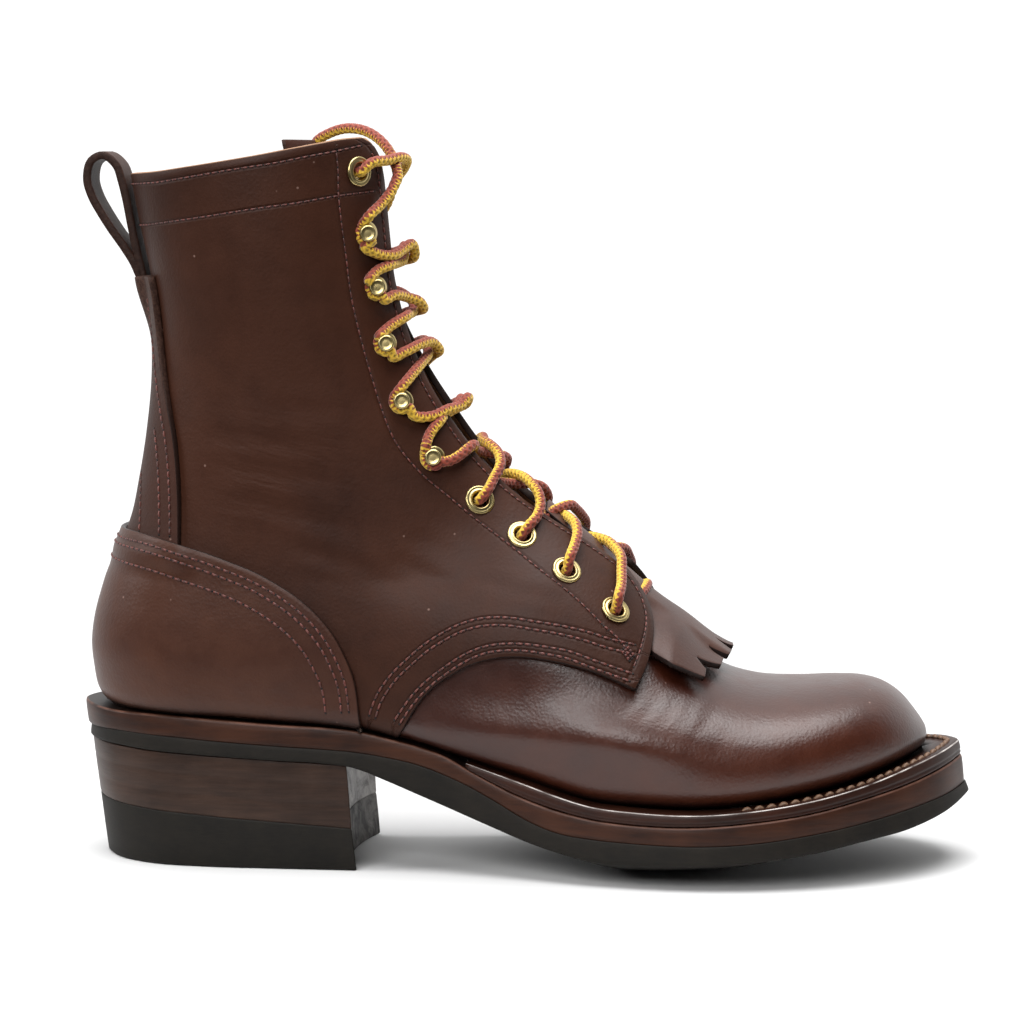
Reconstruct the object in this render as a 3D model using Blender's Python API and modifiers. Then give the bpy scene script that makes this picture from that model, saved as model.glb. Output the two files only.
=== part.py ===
"""Packer boot for the right foot: a lace-to-toe leather upper on a welted sole with a stacked heel.

The toe points along +X, the outer side of the foot is -Y and the floor is z = 0.
Sizes and tables are in millimetres from the back of the sole, and MM turns them into metres.
"""

import math

import bmesh
import bpy
import numpy as np
from mathutils import Matrix, Vector

MM = 0.001
CENTRE_X = 155.15
CENTRE_Y = -0.65
GAP = 0.3

LATERAL = -1
MEDIAL = 1

# Leather thicknesses.
VAMP_WALL = 2.2
QUARTER_LIFT = 2.0
LINING = 0.6
COUNTER_LEATHER = 1.8
BACKSTAY_LEATHER = 2.0
TONGUE_DEPTH = 3.2
TONGUE_LEATHER = 1.9
KILTIE_LEATHER = 2.0
INSOLE_LEATHER = 3.0

# Lace and hardware.
LACE_RADIUS = 2.1
EYELET_FLANGE_RADIUS = 4.8
EYELET_HOLE_RADIUS = 2.6
EYELET_BARREL_RADIUS = 3.1
HOOK_BASE_RADIUS = 4.8
HOOK_CAP_RADIUS = 3.1
HOOK_NECK_RADIUS = 1.7
HOOK_HEIGHT = 7.0

# Outline of the sole seen from above: x, outer edge y, inner edge y.
SOLE_OUTLINE = np.array([
    (0.0, 0.0, 0.0),
    (9.0, -20.5, 20.5),
    (24.0, -30.5, 30.5),
    (45.0, -34.6, 34.4),
    (70.0, -35.6, 34.2),
    (100.0, -36.2, 32.6),
    (130.0, -38.6, 32.4),
    (155.0, -44.0, 36.0),
    (180.0, -51.0, 43.5),
    (200.0, -55.0, 50.0),
    (217.0, -56.3, 53.8),
    (236.0, -54.6, 55.0),
    (256.0, -49.0, 53.0),
    (275.0, -39.6, 47.6),
    (291.0, -27.5, 38.8),
    (302.0, -14.5, 27.8),
    (308.0, -1.5, 16.5),
    (310.3, 7.5, 7.5),
])

# Outline of the foot at its fullest height: x, outer edge y, inner edge y.
FOOT_OUTLINE = np.array([
    (4.0, 0.0, 0.0),
    (12.0, -19.0, 19.0),
    (26.0, -29.0, 29.0),
    (50.0, -34.0, 33.5),
    (75.0, -35.0, 33.5),
    (100.0, -36.0, 33.5),
    (130.0, -39.2, 34.6),
    (155.0, -43.4, 38.2),
    (180.0, -48.2, 44.0),
    (200.0, -51.0, 48.2),
    (217.0, -51.8, 50.2),
    (236.0, -49.6, 50.2),
    (255.0, -43.6, 47.2),
    (271.0, -34.6, 41.4),
    (284.0, -23.2, 32.6),
    (292.0, -11.0, 22.8),
    (297.0, 7.5, 7.5),
])

# Middle line of the foot: x, y.
FOOT_AXIS = np.array([(0.0, 0.0), (110.0, 0.0), (170.0, 0.8), (220.0, 3.2), (265.0, 5.8), (300.0, 7.5)])

# Height of each sole layer at the edge: x, top, under the welt, under the midsole, under the outsole.
SOLE_LAYERS = np.array([
    (0.0, 54.5, 54.5, 45.0, 39.8),
    (30.0, 53.0, 53.0, 44.8, 39.0),
    (60.0, 52.0, 52.0, 44.0, 38.2),
    (90.0, 50.0, 50.0, 42.7, 37.5),
    (102.0, 48.4, 48.4, 41.6, 37.2),
    (112.0, 46.5, 46.5, 39.9, 34.2),
    (122.0, 43.9, 43.7, 37.2, 30.2),
    (135.0, 39.6, 38.6, 32.3, 24.8),
    (150.0, 34.2, 31.6, 25.6, 18.0),
    (165.0, 29.5, 26.0, 19.6, 12.2),
    (180.0, 26.5, 22.5, 15.6, 8.2),
    (200.0, 24.4, 20.3, 12.9, 5.6),
    (220.0, 24.2, 20.0, 12.3, 5.2),
    (240.0, 25.5, 21.3, 13.4, 6.6),
    (260.0, 28.2, 23.9, 15.8, 9.6),
    (280.0, 32.4, 27.9, 19.6, 14.2),
    (297.0, 37.2, 32.5, 24.0, 19.6),
    (310.0, 41.2, 36.2, 27.4, 23.6),
])
CROWN = 6.5
CROWN_FROM = 150.0
CROWN_TO = 268.0

# Middle line of the boot's front, from the collar down the instep to the toe: x, z.
FRONT_LINE = np.array([
    (108.2, 258.0),
    (108.7, 244.0),
    (109.6, 230.0),
    (110.9, 216.0),
    (112.6, 203.0),
    (116.0, 190.0),
    (120.6, 178.0),
    (126.6, 166.0),
    (134.4, 154.0),
    (144.0, 142.0),
    (155.0, 131.0),
    (168.0, 119.5),
    (180.0, 108.6),
    (190.0, 98.3),
    (199.0, 88.2),
    (208.0, 79.4),
    (217.0, 72.0),
    (226.0, 67.0),
    (236.0, 64.6),
    (251.0, 64.2),
    (264.0, 64.9),
    (273.0, 64.6),
    (280.0, 62.6),
    (286.0, 58.4),
    (291.0, 51.6),
    (295.0, 44.6),
    (297.0, 38.0),
])

# Heel and shaft by height: z, back x, half width, length of the rounded back, length of the rounded front.
SHAFT_LEVELS = np.array([
    (46.0, 9.0, 29.6, 36.0, 150.0),
    (57.0, 8.2, 31.0, 36.0, 150.0),
    (66.0, 6.8, 32.4, 37.0, 150.0),
    (74.0, 6.0, 33.2, 38.0, 145.0),
    (83.0, 7.0, 33.2, 38.0, 135.0),
    (92.0, 9.4, 32.6, 38.0, 120.0),
    (99.0, 12.2, 32.0, 38.0, 110.0),
    (107.0, 17.6, 31.6, 39.0, 101.0),
    (117.0, 21.6, 31.4, 40.0, 92.0),
    (132.0, 24.8, 31.6, 42.0, 76.0),
    (150.0, 27.4, 32.4, 44.0, 62.0),
    (168.0, 28.8, 33.4, 46.0, 54.0),
    (184.0, 28.4, 34.6, 46.0, 48.0),
    (204.0, 26.0, 36.4, 45.0, 45.0),
    (222.0, 23.4, 37.8, 45.0, 43.0),
    (240.0, 20.6, 38.8, 45.0, 43.0),
    (258.0, 18.6, 39.2, 45.0, 43.0),
])
INSTEP_LEVEL = 100.0

# Lower edge of the quarter's wing from the welt to its tip, then its front edge up to the throat: x, z.
WING_ARCH = np.array([
    (114.0, 46.0),
    (118.0, 51.8),
    (122.5, 57.4),
    (129.0, 64.0),
    (137.0, 69.6),
    (146.0, 73.4),
    (156.0, 75.0),
    (166.0, 74.4),
    (177.0, 72.0),
    (188.0, 68.4),
    (196.0, 65.0),
])
WING_FRONT = np.array([
    (196.0, 65.0),
    (198.4, 70.4),
    (199.4, 76.0),
    (199.0, 81.4),
    (196.4, 87.0),
    (192.2, 92.8),
    (187.8, 98.2),
])
THROAT_LIFT = 4.6
THROAT_LIFT_REACH = 20.0

# Half the gap between the flaps: z, y.
THROAT_GAP = np.array([(96.0, 13.0), (115.0, 13.5), (140.0, 13.5), (180.0, 14.0), (215.0, 14.5), (250.0, 15.0)])

# Top edge of the shaft from back to front: x, z.
COLLAR = np.array([(20.8, 237.5), (42.0, 239.0), (63.0, 241.8), (84.0, 245.6), (98.0, 248.2), (106.0, 249.0)])

# Outer outline of the counter seen from the side: x, z.
COUNTER_EDGE = np.array([
    (-20.0, 113.0),
    (23.0, 113.0),
    (33.0, 111.2),
    (45.0, 108.4),
    (58.0, 104.2),
    (70.0, 98.8),
    (79.0, 93.0),
    (88.0, 85.4),
    (94.0, 77.2),
    (98.0, 69.0),
    (100.2, 61.0),
    (101.2, 44.0),
])

# Front edge of the backstay seen from the side: x, z.
BACKSTAY_EDGE = np.array([(40.6, 106.0), (39.8, 122.0), (38.2, 140.0), (35.4, 164.0), (31.2, 186.0), (27.2, 201.0)])

# Eyelets and hooks on each flap from the toe up: x, z.
LACING_ROWS = np.array([
    (186.2, 87.4),
    (170.4, 101.2),
    (155.8, 113.8),
    (141.2, 126.2),
    (125.6, 141.2),
    (114.8, 160.4),
    (109.0, 180.0),
    (105.6, 199.0),
    (102.6, 217.6),
    (99.8, 238.4),
])
EYELET_ROWS = (0, 1, 2, 3, 9)

# Centre line of the pull loop seen from the side: x, z.
PULL_LOOP = np.array([
    (19.4, 204.2),
    (14.6, 212.0),
    (9.6, 221.0),
    (6.4, 230.0),
    (5.4, 238.0),
    (8.2, 243.6),
    (13.0, 243.8),
    (16.0, 239.0),
    (17.4, 230.0),
    (20.2, 216.0),
    (22.6, 204.6),
])
LOOP_WIDTH = 15.0
LOOP_LEATHER = 2.6

# Kiltie over the instep: x, half width, height over the vamp's front line.
KILTIE = np.array([
    (163.0, 8.5, 1.2),
    (176.0, 9.0, 1.8),
    (190.0, 9.5, 3.2),
    (199.0, 12.0, 4.6),
    (206.0, 25.0, 5.4),
    (213.0, 29.0, 6.0),
    (220.0, 27.5, 6.6),
    (226.5, 25.0, 7.0),
])

BREAST_X = 98.0
BREAST_HOLLOW = 5.0
TOP_LIFT_BACK = 18.3
TOP_LIFT_SLOPE = 0.026
HEEL_SEAT_BACK = 39.8
HEEL_SEAT_SLOPE = 0.026


def smooth_through(at, knots, values):
    """Cubic through the rows of a table, with each slope taken from the neighbouring rows."""
    at = np.asarray(at, float)
    slopes = np.gradient(values, knots, axis=0)
    i = np.clip(np.searchsorted(knots, at) - 1, 0, len(knots) - 2)
    step = knots[i + 1] - knots[i]
    u = np.clip((at - knots[i]) / step, 0.0, 1.0)
    if values.ndim > 1:
        u = u[..., None]
        step = step[..., None]
    low, high = values[i], values[i + 1]
    m0, m1 = slopes[i] * step, slopes[i + 1] * step
    return low + u * (m0 + u * (3.0 * (high - low) - 2.0 * m0 - m1 + u * (2.0 * (low - high) + m0 + m1)))


def column(table, name_index, at):
    """One column of a table as a smooth function of its first column."""
    return smooth_through(at, table[:, 0], table[:, name_index])


def smooth_step(low, high, value):
    """Rises from 0 at low to 1 at high with level ends."""
    u = np.clip((value - low) / (high - low), 0.0, 1.0)
    return u * u * (3.0 - 2.0 * u)


def chord_lengths(points):
    """Distance along a row of points from its first one."""
    return np.concatenate([[0.0], np.cumsum(np.linalg.norm(np.diff(points, axis=0), axis=1))])


def along(points, shares):
    """Points on the smooth curve through a row of points, at the given shares of its length."""
    run = chord_lengths(points)
    fine = smooth_through(np.linspace(0.0, run[-1], 400), run, points)
    length = chord_lengths(fine)
    at = np.asarray(shares) * length[-1]
    return np.stack([np.interp(at, length, fine[:, k]) for k in range(points.shape[1])], axis=1)


def outline_halves(rows, count, inset=0.0):
    """Outer and inner halves of a closed outline from heel to toe, moved in by an inset."""
    outer = rows[:, :2]
    inner = rows[1:-1][::-1][:, [0, 2]]
    loop = np.vstack([outer, inner])
    padded = np.vstack([loop[-3:], loop, loop[:4]])
    run = chord_lengths(padded)
    start, toe, end = run[3], run[3 + len(rows) - 1], run[3 + len(loop)]
    halves = []
    for first, last in ((start, toe), (end, toe)):
        at = np.linspace(first, last, 600)
        fine = smooth_through(at, run, padded)
        tangent = np.gradient(fine, axis=0)
        normal = np.stack([-tangent[:, 1], tangent[:, 0]], axis=1)
        normal /= np.linalg.norm(normal, axis=1)[:, None]
        fine = fine + normal * inset * (1.0 if first < last else -1.0)
        length = chord_lengths(fine)
        shares = np.linspace(0.0, length[-1], count + 1)
        halves.append(np.stack([np.interp(shares, length, fine[:, k]) for k in range(2)], axis=1))
    return halves


FOOT_OUTER, FOOT_INNER = outline_halves(FOOT_OUTLINE, 400)
FRONT_FINE = along(FRONT_LINE, np.linspace(0.0, 1.0, 400))


def axis_y(x):
    """Middle line of the foot, which bends towards the inner side at the toe."""
    return column(FOOT_AXIS, 1, x)


def seat_z(x):
    """Height of the line where the upper meets the sole."""
    return column(SOLE_LAYERS, 1, x)


def front_z(x):
    """Height of the boot's front line at a length along the foot."""
    return np.interp(x, FRONT_FINE[:, 0], FRONT_FINE[:, 1])


def front_x(z):
    """Length along the foot of the front line at a height, running far forward below the instep."""
    rising = FRONT_FINE[::-1]
    instep = np.interp(INSTEP_LEVEL, rising[:, 1], rising[:, 0])
    above = np.interp(np.maximum(z, INSTEP_LEVEL), rising[:, 1], rising[:, 0])
    return np.where(z < INSTEP_LEVEL, instep + 3.5 * (INSTEP_LEVEL - z), above)


def rounded_end(share, power):
    """Falls from 1 to 0 as a quarter of an oval while the share runs from 0 to 1."""
    share = np.clip(share, 0.0, 1.0)
    return np.maximum(1.0 - share ** power, 0.0) ** (1.0 / power)


def foot_half_width(x, z, side):
    """Half width of the forefoot: full at a low girth line, rounded over to the front line."""
    half = FOOT_OUTER if side == LATERAL else FOOT_INNER
    widest = np.abs(np.interp(x, half[:, 0], half[:, 1]) - axis_y(x))
    low, high = seat_z(x), front_z(x)
    girth = low + 0.3 * (high - low)
    crown = 1.85 + 0.45 * smooth_step(150.0, 230.0, x)
    over = rounded_end((z - girth) / np.maximum(high - girth, 0.4), crown)
    under = np.clip((girth - z) / np.maximum(girth - low, 0.4), 0.0, 1.0)
    return widest * over * (1.0 - 0.055 * under ** 2)


def shaft_half_width(x, z):
    """Half width of the heel and shaft: an oval at each height, rounded at the back and the front."""
    back, half = column(SHAFT_LEVELS, 1, z), column(SHAFT_LEVELS, 2, z)
    back_round, front_round = column(SHAFT_LEVELS, 3, z), column(SHAFT_LEVELS, 4, z)
    behind = rounded_end(1.0 - (x - back) / back_round, 2.2)
    before = rounded_end(1.0 - (front_x(z) - x) / front_round, 2.0)
    return half * behind * before


def half_width(x, z, side):
    """Half width of the boot without laps: the shaft's oval blended into the forefoot along the instep."""
    share = smooth_step(-34.0, 34.0, 92.0 + 0.95 * (z - 50.0) - x)
    return share * shaft_half_width(x, z) + (1.0 - share) * foot_half_width(x, z, side)


def surface(x, z, side):
    """Points of the outer skin without laps at side-view places."""
    return np.stack([x, axis_y(x) + side * half_width(x, z, side), z], axis=-1)


def flap_lift(x, z):
    """Height of the quarter's outer skin over the vamp: its own leather, and the throat raised by the tongue."""
    near = np.exp(-((x - 190.0) ** 2 + (z - 97.0) ** 2) / (2.0 * THROAT_LIFT_REACH ** 2))
    return QUARTER_LIFT + THROAT_LIFT * near


def throat_edge(z):
    """Length along the foot where the flap's edge lies at a height, from half the gap between the flaps."""
    found = []
    for height in z:
        x = np.linspace(front_x(height) - 45.0, front_x(height), 300)
        width = half_width(x, np.full_like(x, height), LATERAL)
        found.append(np.interp(-column(THROAT_GAP, 1, height), -width, x))
    return np.array(found)


def skin_normal(x, z, side):
    """Outward unit normal of the skin without laps, from its slopes along x and z."""
    e = 0.2
    across = surface(x + e, z, side) - surface(x - e, z, side)
    upward = surface(x, z + e, side) - surface(x, z - e, side)
    normal = np.cross(across, upward)
    normal *= np.sign(normal[..., 1:2] * side)
    return normal / np.linalg.norm(normal, axis=-1, keepdims=True)


def skin_place(x, z, side, lift):
    """Point at a height over the skin without laps, with the outward normal there."""
    x, z = np.float64(x), np.float64(z)
    normal = skin_normal(x, z, side)
    return surface(x, z, side) + normal * lift, normal


def spanned_patch(low, high, left, right):
    """Coons patch between four edges in the side view; low and high run along the columns."""
    rows, cols = len(left), len(low)
    s = (chord_lengths(low) / chord_lengths(low)[-1])[None, :, None]
    t = (chord_lengths(left) / chord_lengths(left)[-1])[:, None, None]
    s = s * np.ones((rows, 1, 1))
    t = t * np.ones((1, cols, 1))
    ruled = (1 - t) * low[None] + t * high[None] + (1 - s) * left[:, None] + s * right[:, None]
    corners = (1 - t) * ((1 - s) * low[0] + s * low[-1]) + t * ((1 - s) * high[0] + s * high[-1])
    return ruled - corners


def to_world(points):
    """Millimetres from the back of the sole to metres from the middle of the boot."""
    return (np.asarray(points, float) - (CENTRE_X, CENTRE_Y, 0.0)) * MM


def leather(name, colour, roughness):
    """A plain material for one sub-part."""
    material = bpy.data.materials.new(name)
    material.use_nodes = True
    shader = material.node_tree.nodes["Principled BSDF"]
    shader.inputs["Base Color"].default_value = (*colour, 1.0)
    shader.inputs["Roughness"].default_value = roughness
    return material


def brass(name):
    """A plain metal for the eyelets and hooks."""
    material = leather(name, (0.55, 0.36, 0.10), 0.35)
    material.node_tree.nodes["Principled BSDF"].inputs["Metallic"].default_value = 1.0
    return material


def add_solid(name, vertices, faces, material, collection):
    """A closed mesh from points in millimetres; points that fall together become one."""
    mesh = bpy.data.meshes.new(name)
    mesh.from_pydata(to_world(vertices).tolist(), [], faces)
    work = bmesh.new()
    work.from_mesh(mesh)
    bmesh.ops.remove_doubles(work, verts=work.verts, dist=0.000005)
    bmesh.ops.dissolve_degenerate(work, dist=0.000002, edges=work.edges)
    bmesh.ops.triangulate(work, faces=[f for f in work.faces if len(f.verts) == 4])
    bmesh.ops.recalc_face_normals(work, faces=work.faces)
    if work.calc_volume(signed=True) < 0.0:
        bmesh.ops.reverse_faces(work, faces=work.faces)
    work.to_mesh(mesh)
    work.free()
    mesh.materials.append(material)
    solid = bpy.data.objects.new(name, mesh)
    collection.objects.link(solid)
    return solid


def shell_between(outer, inner):
    """Vertices and faces of a closed shell between two grids of the same shape."""
    rows, cols = outer.shape[:2]
    index = np.arange(rows * cols).reshape(rows, cols)
    under = index + rows * cols
    faces = []
    for i in range(rows - 1):
        for j in range(cols - 1):
            faces.append((index[i, j], index[i, j + 1], index[i + 1, j + 1], index[i + 1, j]))
            faces.append((under[i, j], under[i + 1, j], under[i + 1, j + 1], under[i, j + 1]))
    rim = [(i, 0) for i in range(rows)] + [(rows - 1, j) for j in range(1, cols)]
    rim += [(i, cols - 1) for i in range(rows - 2, -1, -1)] + [(0, j) for j in range(cols - 2, 0, -1)]
    for here, there in zip(rim, rim[1:] + rim[:1]):
        faces.append((index[here], index[there], under[there], under[here]))
    vertices = np.vstack([outer.reshape(-1, 3), inner.reshape(-1, 3)])
    return vertices, [tuple(int(v) for v in face) for face in faces]


def cut(solid, cutter, operation):
    """Boolean with a cutter that stays hidden."""
    modifier = solid.modifiers.new(operation.lower(), "BOOLEAN")
    modifier.operation = operation
    modifier.solver = "EXACT"
    modifier.object = cutter


def side_prism(name, outline, depth, collection):
    """Cutter with a side-view outline, reaching through the whole width of the boot."""
    count = len(outline)
    near = np.column_stack([outline[:, 0], np.full(count, -depth), outline[:, 1]])
    far = near * (1.0, -1.0, 1.0)
    faces = [tuple(range(count)), tuple(range(2 * count - 1, count - 1, -1))]
    faces += [(k, count + k, count + (k + 1) % count, (k + 1) % count) for k in range(count)]
    prism = add_solid(name, np.vstack([near, far]), faces, leather(name, (0.5, 0.5, 0.5), 0.5), collection)
    prism.hide_render = True
    prism.display_type = "WIRE"
    return prism


for old in list(bpy.data.objects):
    bpy.data.objects.remove(old)
boot = bpy.data.collections.new("packer_boot")
cutters = bpy.data.collections.new("cutters")
bpy.context.scene.collection.children.link(boot)
bpy.context.scene.collection.children.link(cutters)

brown = leather("shaft leather", (0.045, 0.022, 0.014), 0.45)
vamp_brown = leather("counter leather", (0.060, 0.026, 0.016), 0.45)
sole_brown = leather("sole leather", (0.120, 0.055, 0.030), 0.55)
rubber = leather("black rubber", (0.015, 0.015, 0.015), 0.7)
insole_tan = leather("insole leather", (0.300, 0.190, 0.110), 0.6)
lace_cord = leather("lace", (0.550, 0.300, 0.050), 0.8)
brass_metal = brass("brass")


# The sole: rungs across the outline from heel to toe, a slab for each layer.
def sole_slab(name, top_column, bottom_column, insets, gaps, crowned, material):
    """One full-length sole layer between two height columns, its edge sloping between two insets."""
    count, cells = 26, (6 if crowned else 2)
    grids = []
    for level, inset, gap in zip((top_column, bottom_column), insets, gaps):
        outer, inner = outline_halves(SOLE_OUTLINE, count, inset)
        across = np.linspace(0.0, 1.0, cells + 1)[None, :, None]
        plan = outer[:, None] * (1.0 - across) + inner[:, None] * across
        z = column(SOLE_LAYERS, level, plan[..., 0]) + gap
        if crowned and level == bottom_column:
            middle = 1.0 - (2.0 * across[..., 0] - 1.0) ** 2
            reach = smooth_step(CROWN_FROM, 195.0, plan[..., 0])
            reach = reach * (1.0 - smooth_step(230.0, CROWN_TO, plan[..., 0]))
            z = np.maximum(z - CROWN * reach * middle, 0.0)
        grids.append(np.dstack([plan, z]))
    return add_solid(name, *shell_between(*grids), material, boot)


sole_slab("midsole", 2, 3, (1.2, 0.8), (0.0, 0.0), False, sole_brown)
sole_slab("outsole", 3, 4, (0.3, 0.0), (-GAP, 0.0), True, rubber)


# The welt: a strip of leather round the forefoot, from the waist on one side to the waist on the other.
def welt_strip():
    """Strip between the sole's edge and a line under the upper, thin at its skived ends."""
    outer = outline_halves(SOLE_OUTLINE, 60, 1.6)
    inner = outline_halves(SOLE_OUTLINE, 60, 20.0)
    rims = []
    for halves in (outer, inner):
        chain = np.vstack([halves[0], halves[1][-2::-1]])
        fine = chain[31:-31]
        at = np.linspace(0.0, 1.0, 37)
        rims.append(along(fine, at))
    top, bottom = [], []
    for rim in rims:
        top.append(np.column_stack([rim, column(SOLE_LAYERS, 1, rim[:, 0])]))
        bottom.append(np.column_stack([rim, column(SOLE_LAYERS, 2, rim[:, 0]) + GAP]))
    return add_solid("welt", *shell_between(np.stack(top, 1), np.stack(bottom, 1)), sole_brown, boot)


welt_strip()


# The heel: a leather stack and a rubber top lift, narrowing to the floor, with a hollow breast.
def heel_ring(height, count=22):
    """Outline of the heel at a height, leaning in towards the floor."""
    share = 1.0 - height / HEEL_SEAT_BACK
    outer, inner = outline_halves(SOLE_OUTLINE, 200, 1.0 + 2.2 * share)
    ring = []
    for half in (outer, inner):
        back = half[half[:, 0] < BREAST_X]
        corner_y = np.interp(BREAST_X, half[:, 0], half[:, 1])
        ring.append(along(np.vstack([back, (BREAST_X, corner_y)]), np.linspace(0.0, 1.0, count // 2 + 1)))
    across = np.linspace(-1.0, 1.0, 7)[1:-1]
    wide = (ring[1][-1, 1] - ring[0][-1, 1]) / 2.0
    middle = (ring[1][-1, 1] + ring[0][-1, 1]) / 2.0
    breast = np.column_stack([BREAST_X - BREAST_HOLLOW * (1.0 - across ** 2), middle + wide * across])
    loop = np.vstack([ring[0], breast, ring[1][:0:-1]])
    loop[:, 0] += 5.0 * share * (1.0 - loop[:, 0] / BREAST_X)
    return loop


def heel_block(name, top, bottom, material):
    """Solid between two sloping planes, each given by its height at the back and its slope."""
    rings = []
    for back, slope in (top, bottom):
        loop = heel_ring(back)
        rings.append(np.column_stack([loop, back - slope * loop[:, 0]]))
    count = len(rings[0])
    faces = [tuple(range(count)), tuple(range(2 * count - 1, count - 1, -1))]
    faces += [(k, (k + 1) % count, count + (k + 1) % count, count + k) for k in range(count)]
    return add_solid(name, np.vstack(rings), faces, material, boot)


heel_block("heel_stack", (HEEL_SEAT_BACK - 2.0 * GAP, HEEL_SEAT_SLOPE), (TOP_LIFT_BACK + GAP, TOP_LIFT_SLOPE), sole_brown)
heel_block("heel_top_lift", (TOP_LIFT_BACK, TOP_LIFT_SLOPE), (0.0, 0.0), rubber)


# The upper: quarters that wrap the heel and shaft, lapped over a vamp that covers the forefoot.
FEATHER_CELLS = 8
ARCH_CELLS = 8
WING_CELLS = 4
BACK_LEVELS = np.array([60.0, 67.0, 75.0, 84.0, 92.0, 98.0, 104.0, 111.0, 120.0, 134.0, 150.0, 167.0, 185.0, 203.0, 221.0])
VAMP_CELLS = 10
BASE_CELLS = 4

throat_top = np.linspace(WING_FRONT[-1, 1], 248.9, len(BACK_LEVELS) + 2 - WING_CELLS)
flap_edge = np.column_stack([throat_edge(throat_top), throat_top])
flap_edge[0] = WING_FRONT[-1]

back_z = np.concatenate([[54.0], BACK_LEVELS, [237.5]])
back_line = np.column_stack([column(SHAFT_LEVELS, 1, back_z), back_z])
heel_shares = 1.0 - np.cos(np.linspace(0.0, 0.5 * math.pi, FEATHER_CELLS + 1))
heel_x = back_line[0, 0] + (WING_ARCH[0, 0] - back_line[0, 0]) * (0.65 * heel_shares + 0.35 * np.linspace(0, 1, FEATHER_CELLS + 1) ** 1.6)
heel_feather = np.column_stack([heel_x, seat_z(heel_x)])
back_line[0] = heel_feather[0]
arch = along(WING_ARCH, np.linspace(0.0, 1.0, ARCH_CELLS + 1))
arch[0] = heel_feather[-1]
quarter_low = np.vstack([heel_feather, arch[1:]])
wing = along(WING_FRONT, np.linspace(0.0, 1.0, WING_CELLS + 1))
quarter_right = np.vstack([wing[:-1], flap_edge])
collar_shares = (heel_x - heel_x[0]) / (heel_x[-1] - heel_x[0]) * 0.55
collar_shares = np.concatenate([collar_shares, np.linspace(0.55, 1.0, ARCH_CELLS + 1)[1:]])
collar_line = along(np.vstack([COLLAR[:-1], flap_edge[-1]]), collar_shares)
collar_line[0] = back_line[-1]
quarter_side = spanned_patch(quarter_low, collar_line, back_line, quarter_right)



def height_share(x, z):
    """Share of the way up the side of the forefoot, slowing towards the front line."""
    return 1.0 - np.sqrt(np.clip(1.0 - (z - seat_z(x)) / (front_z(x) - seat_z(x)), 0.0, 1.0))


def vamp_patch(edge, cells):
    """Side view of the vamp: lines from its rear edge to the tip of the toe, evenly spread over the forefoot."""
    share = height_share(edge[:, 0], edge[:, 1])[:, None]
    reach = np.sin(np.linspace(0.0, 0.5 * math.pi, cells + 1))[None]
    even = np.linspace(0.0, 1.0, len(edge))[:, None]
    share = share + (even - share) * smooth_step(0.0, 0.6, reach)
    x = edge[:, :1] + (FRONT_LINE[-1, 0] - edge[:, :1]) * reach
    z = seat_z(x) + (front_z(x) - seat_z(x)) * (1.0 - (1.0 - share) ** 2)
    return np.dstack([x, z])


throat_foot = WING_FRONT[-1]
ridge_foot = np.array([throat_foot[0] - 0.8, front_z(throat_foot[0] - 0.8)])
base_share = np.linspace(height_share(*throat_foot), 1.0, BASE_CELLS + 1)[1:]
base_x = np.linspace(throat_foot[0], ridge_foot[0], BASE_CELLS + 1)[1:]
base_rise = (front_z(base_x) - seat_z(base_x)) * (1.0 - (1.0 - base_share) ** 2)
vamp_edge = np.vstack([arch, wing[1:], np.column_stack([base_x, seat_z(base_x) + base_rise])])
vamp_side = vamp_patch(vamp_edge, VAMP_CELLS)


def both_sides(side_view):
    """Quarter grid across both sides of the boot from its side view; the back line is shared."""
    x, z = side_view[..., 0], side_view[..., 1]
    outer, inner = surface(x, z, LATERAL), surface(x, z, MEDIAL)
    outer[:, 0, 1] = axis_y(x[:, 0])
    return np.concatenate([outer[:, ::-1], inner[:, 1:]], axis=1)


def over_both_sides(side_view):
    """Vamp grid from the outer side over the front line to the inner side; all lines meet at the toe."""
    x, z = side_view[..., 0], side_view[..., 1]
    outer, inner = surface(x, z, LATERAL), surface(x, z, MEDIAL)
    outer[-1, :, 1] = axis_y(x[-1])
    grid = np.concatenate([outer, inner[-2::-1]], axis=0)
    tip_x, tip_z = FRONT_LINE[-1]
    grid[:, -1] = tip_x, axis_y(tip_x), tip_z
    return grid


def grid_normals(grid):
    """Outward unit normals of a grid of points."""
    normal = np.cross(np.gradient(grid, axis=1), np.gradient(grid, axis=0))
    return normal / np.maximum(np.linalg.norm(normal, axis=2), 1e-9)[..., None]


def outward(grid):
    """Normals of a grid across both sides: from the skin's slopes, or from the grid near a middle line."""
    x, z = grid[..., 0], grid[..., 2]
    side = np.where(grid[..., 1] < axis_y(x), LATERAL, MEDIAL)[..., None]
    normal = np.where(side == LATERAL, skin_normal(x, z, LATERAL), skin_normal(x, z, MEDIAL))
    inside = np.abs(grid[..., 1] - axis_y(x))[..., None] < 9.0
    middle = grid_normals(grid)
    middle *= np.sign(np.sum(np.where(inside, 0.0, middle * normal)))
    return np.where(inside, middle, normal)


quarter = both_sides(quarter_side)
vamp = over_both_sides(vamp_side)
quarter_normal = outward(quarter)
vamp_normal = outward(vamp)
LAST = quarter.shape[1] - 1
vamp_normal[:, -1] = 1.0, 0.0, 0.0
shared = [(0, j) for j in range(ARCH_CELLS, 0, -1)] + [(i, 0) for i in range(WING_CELLS + 1)]


def seated_quarter(points):
    """The heel's lower edge set just clear of the sole."""
    low = points[0, ARCH_CELLS:LAST - ARCH_CELLS + 1]
    low[:, 2] = seat_z(low[:, 0]) + GAP
    return points


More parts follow.
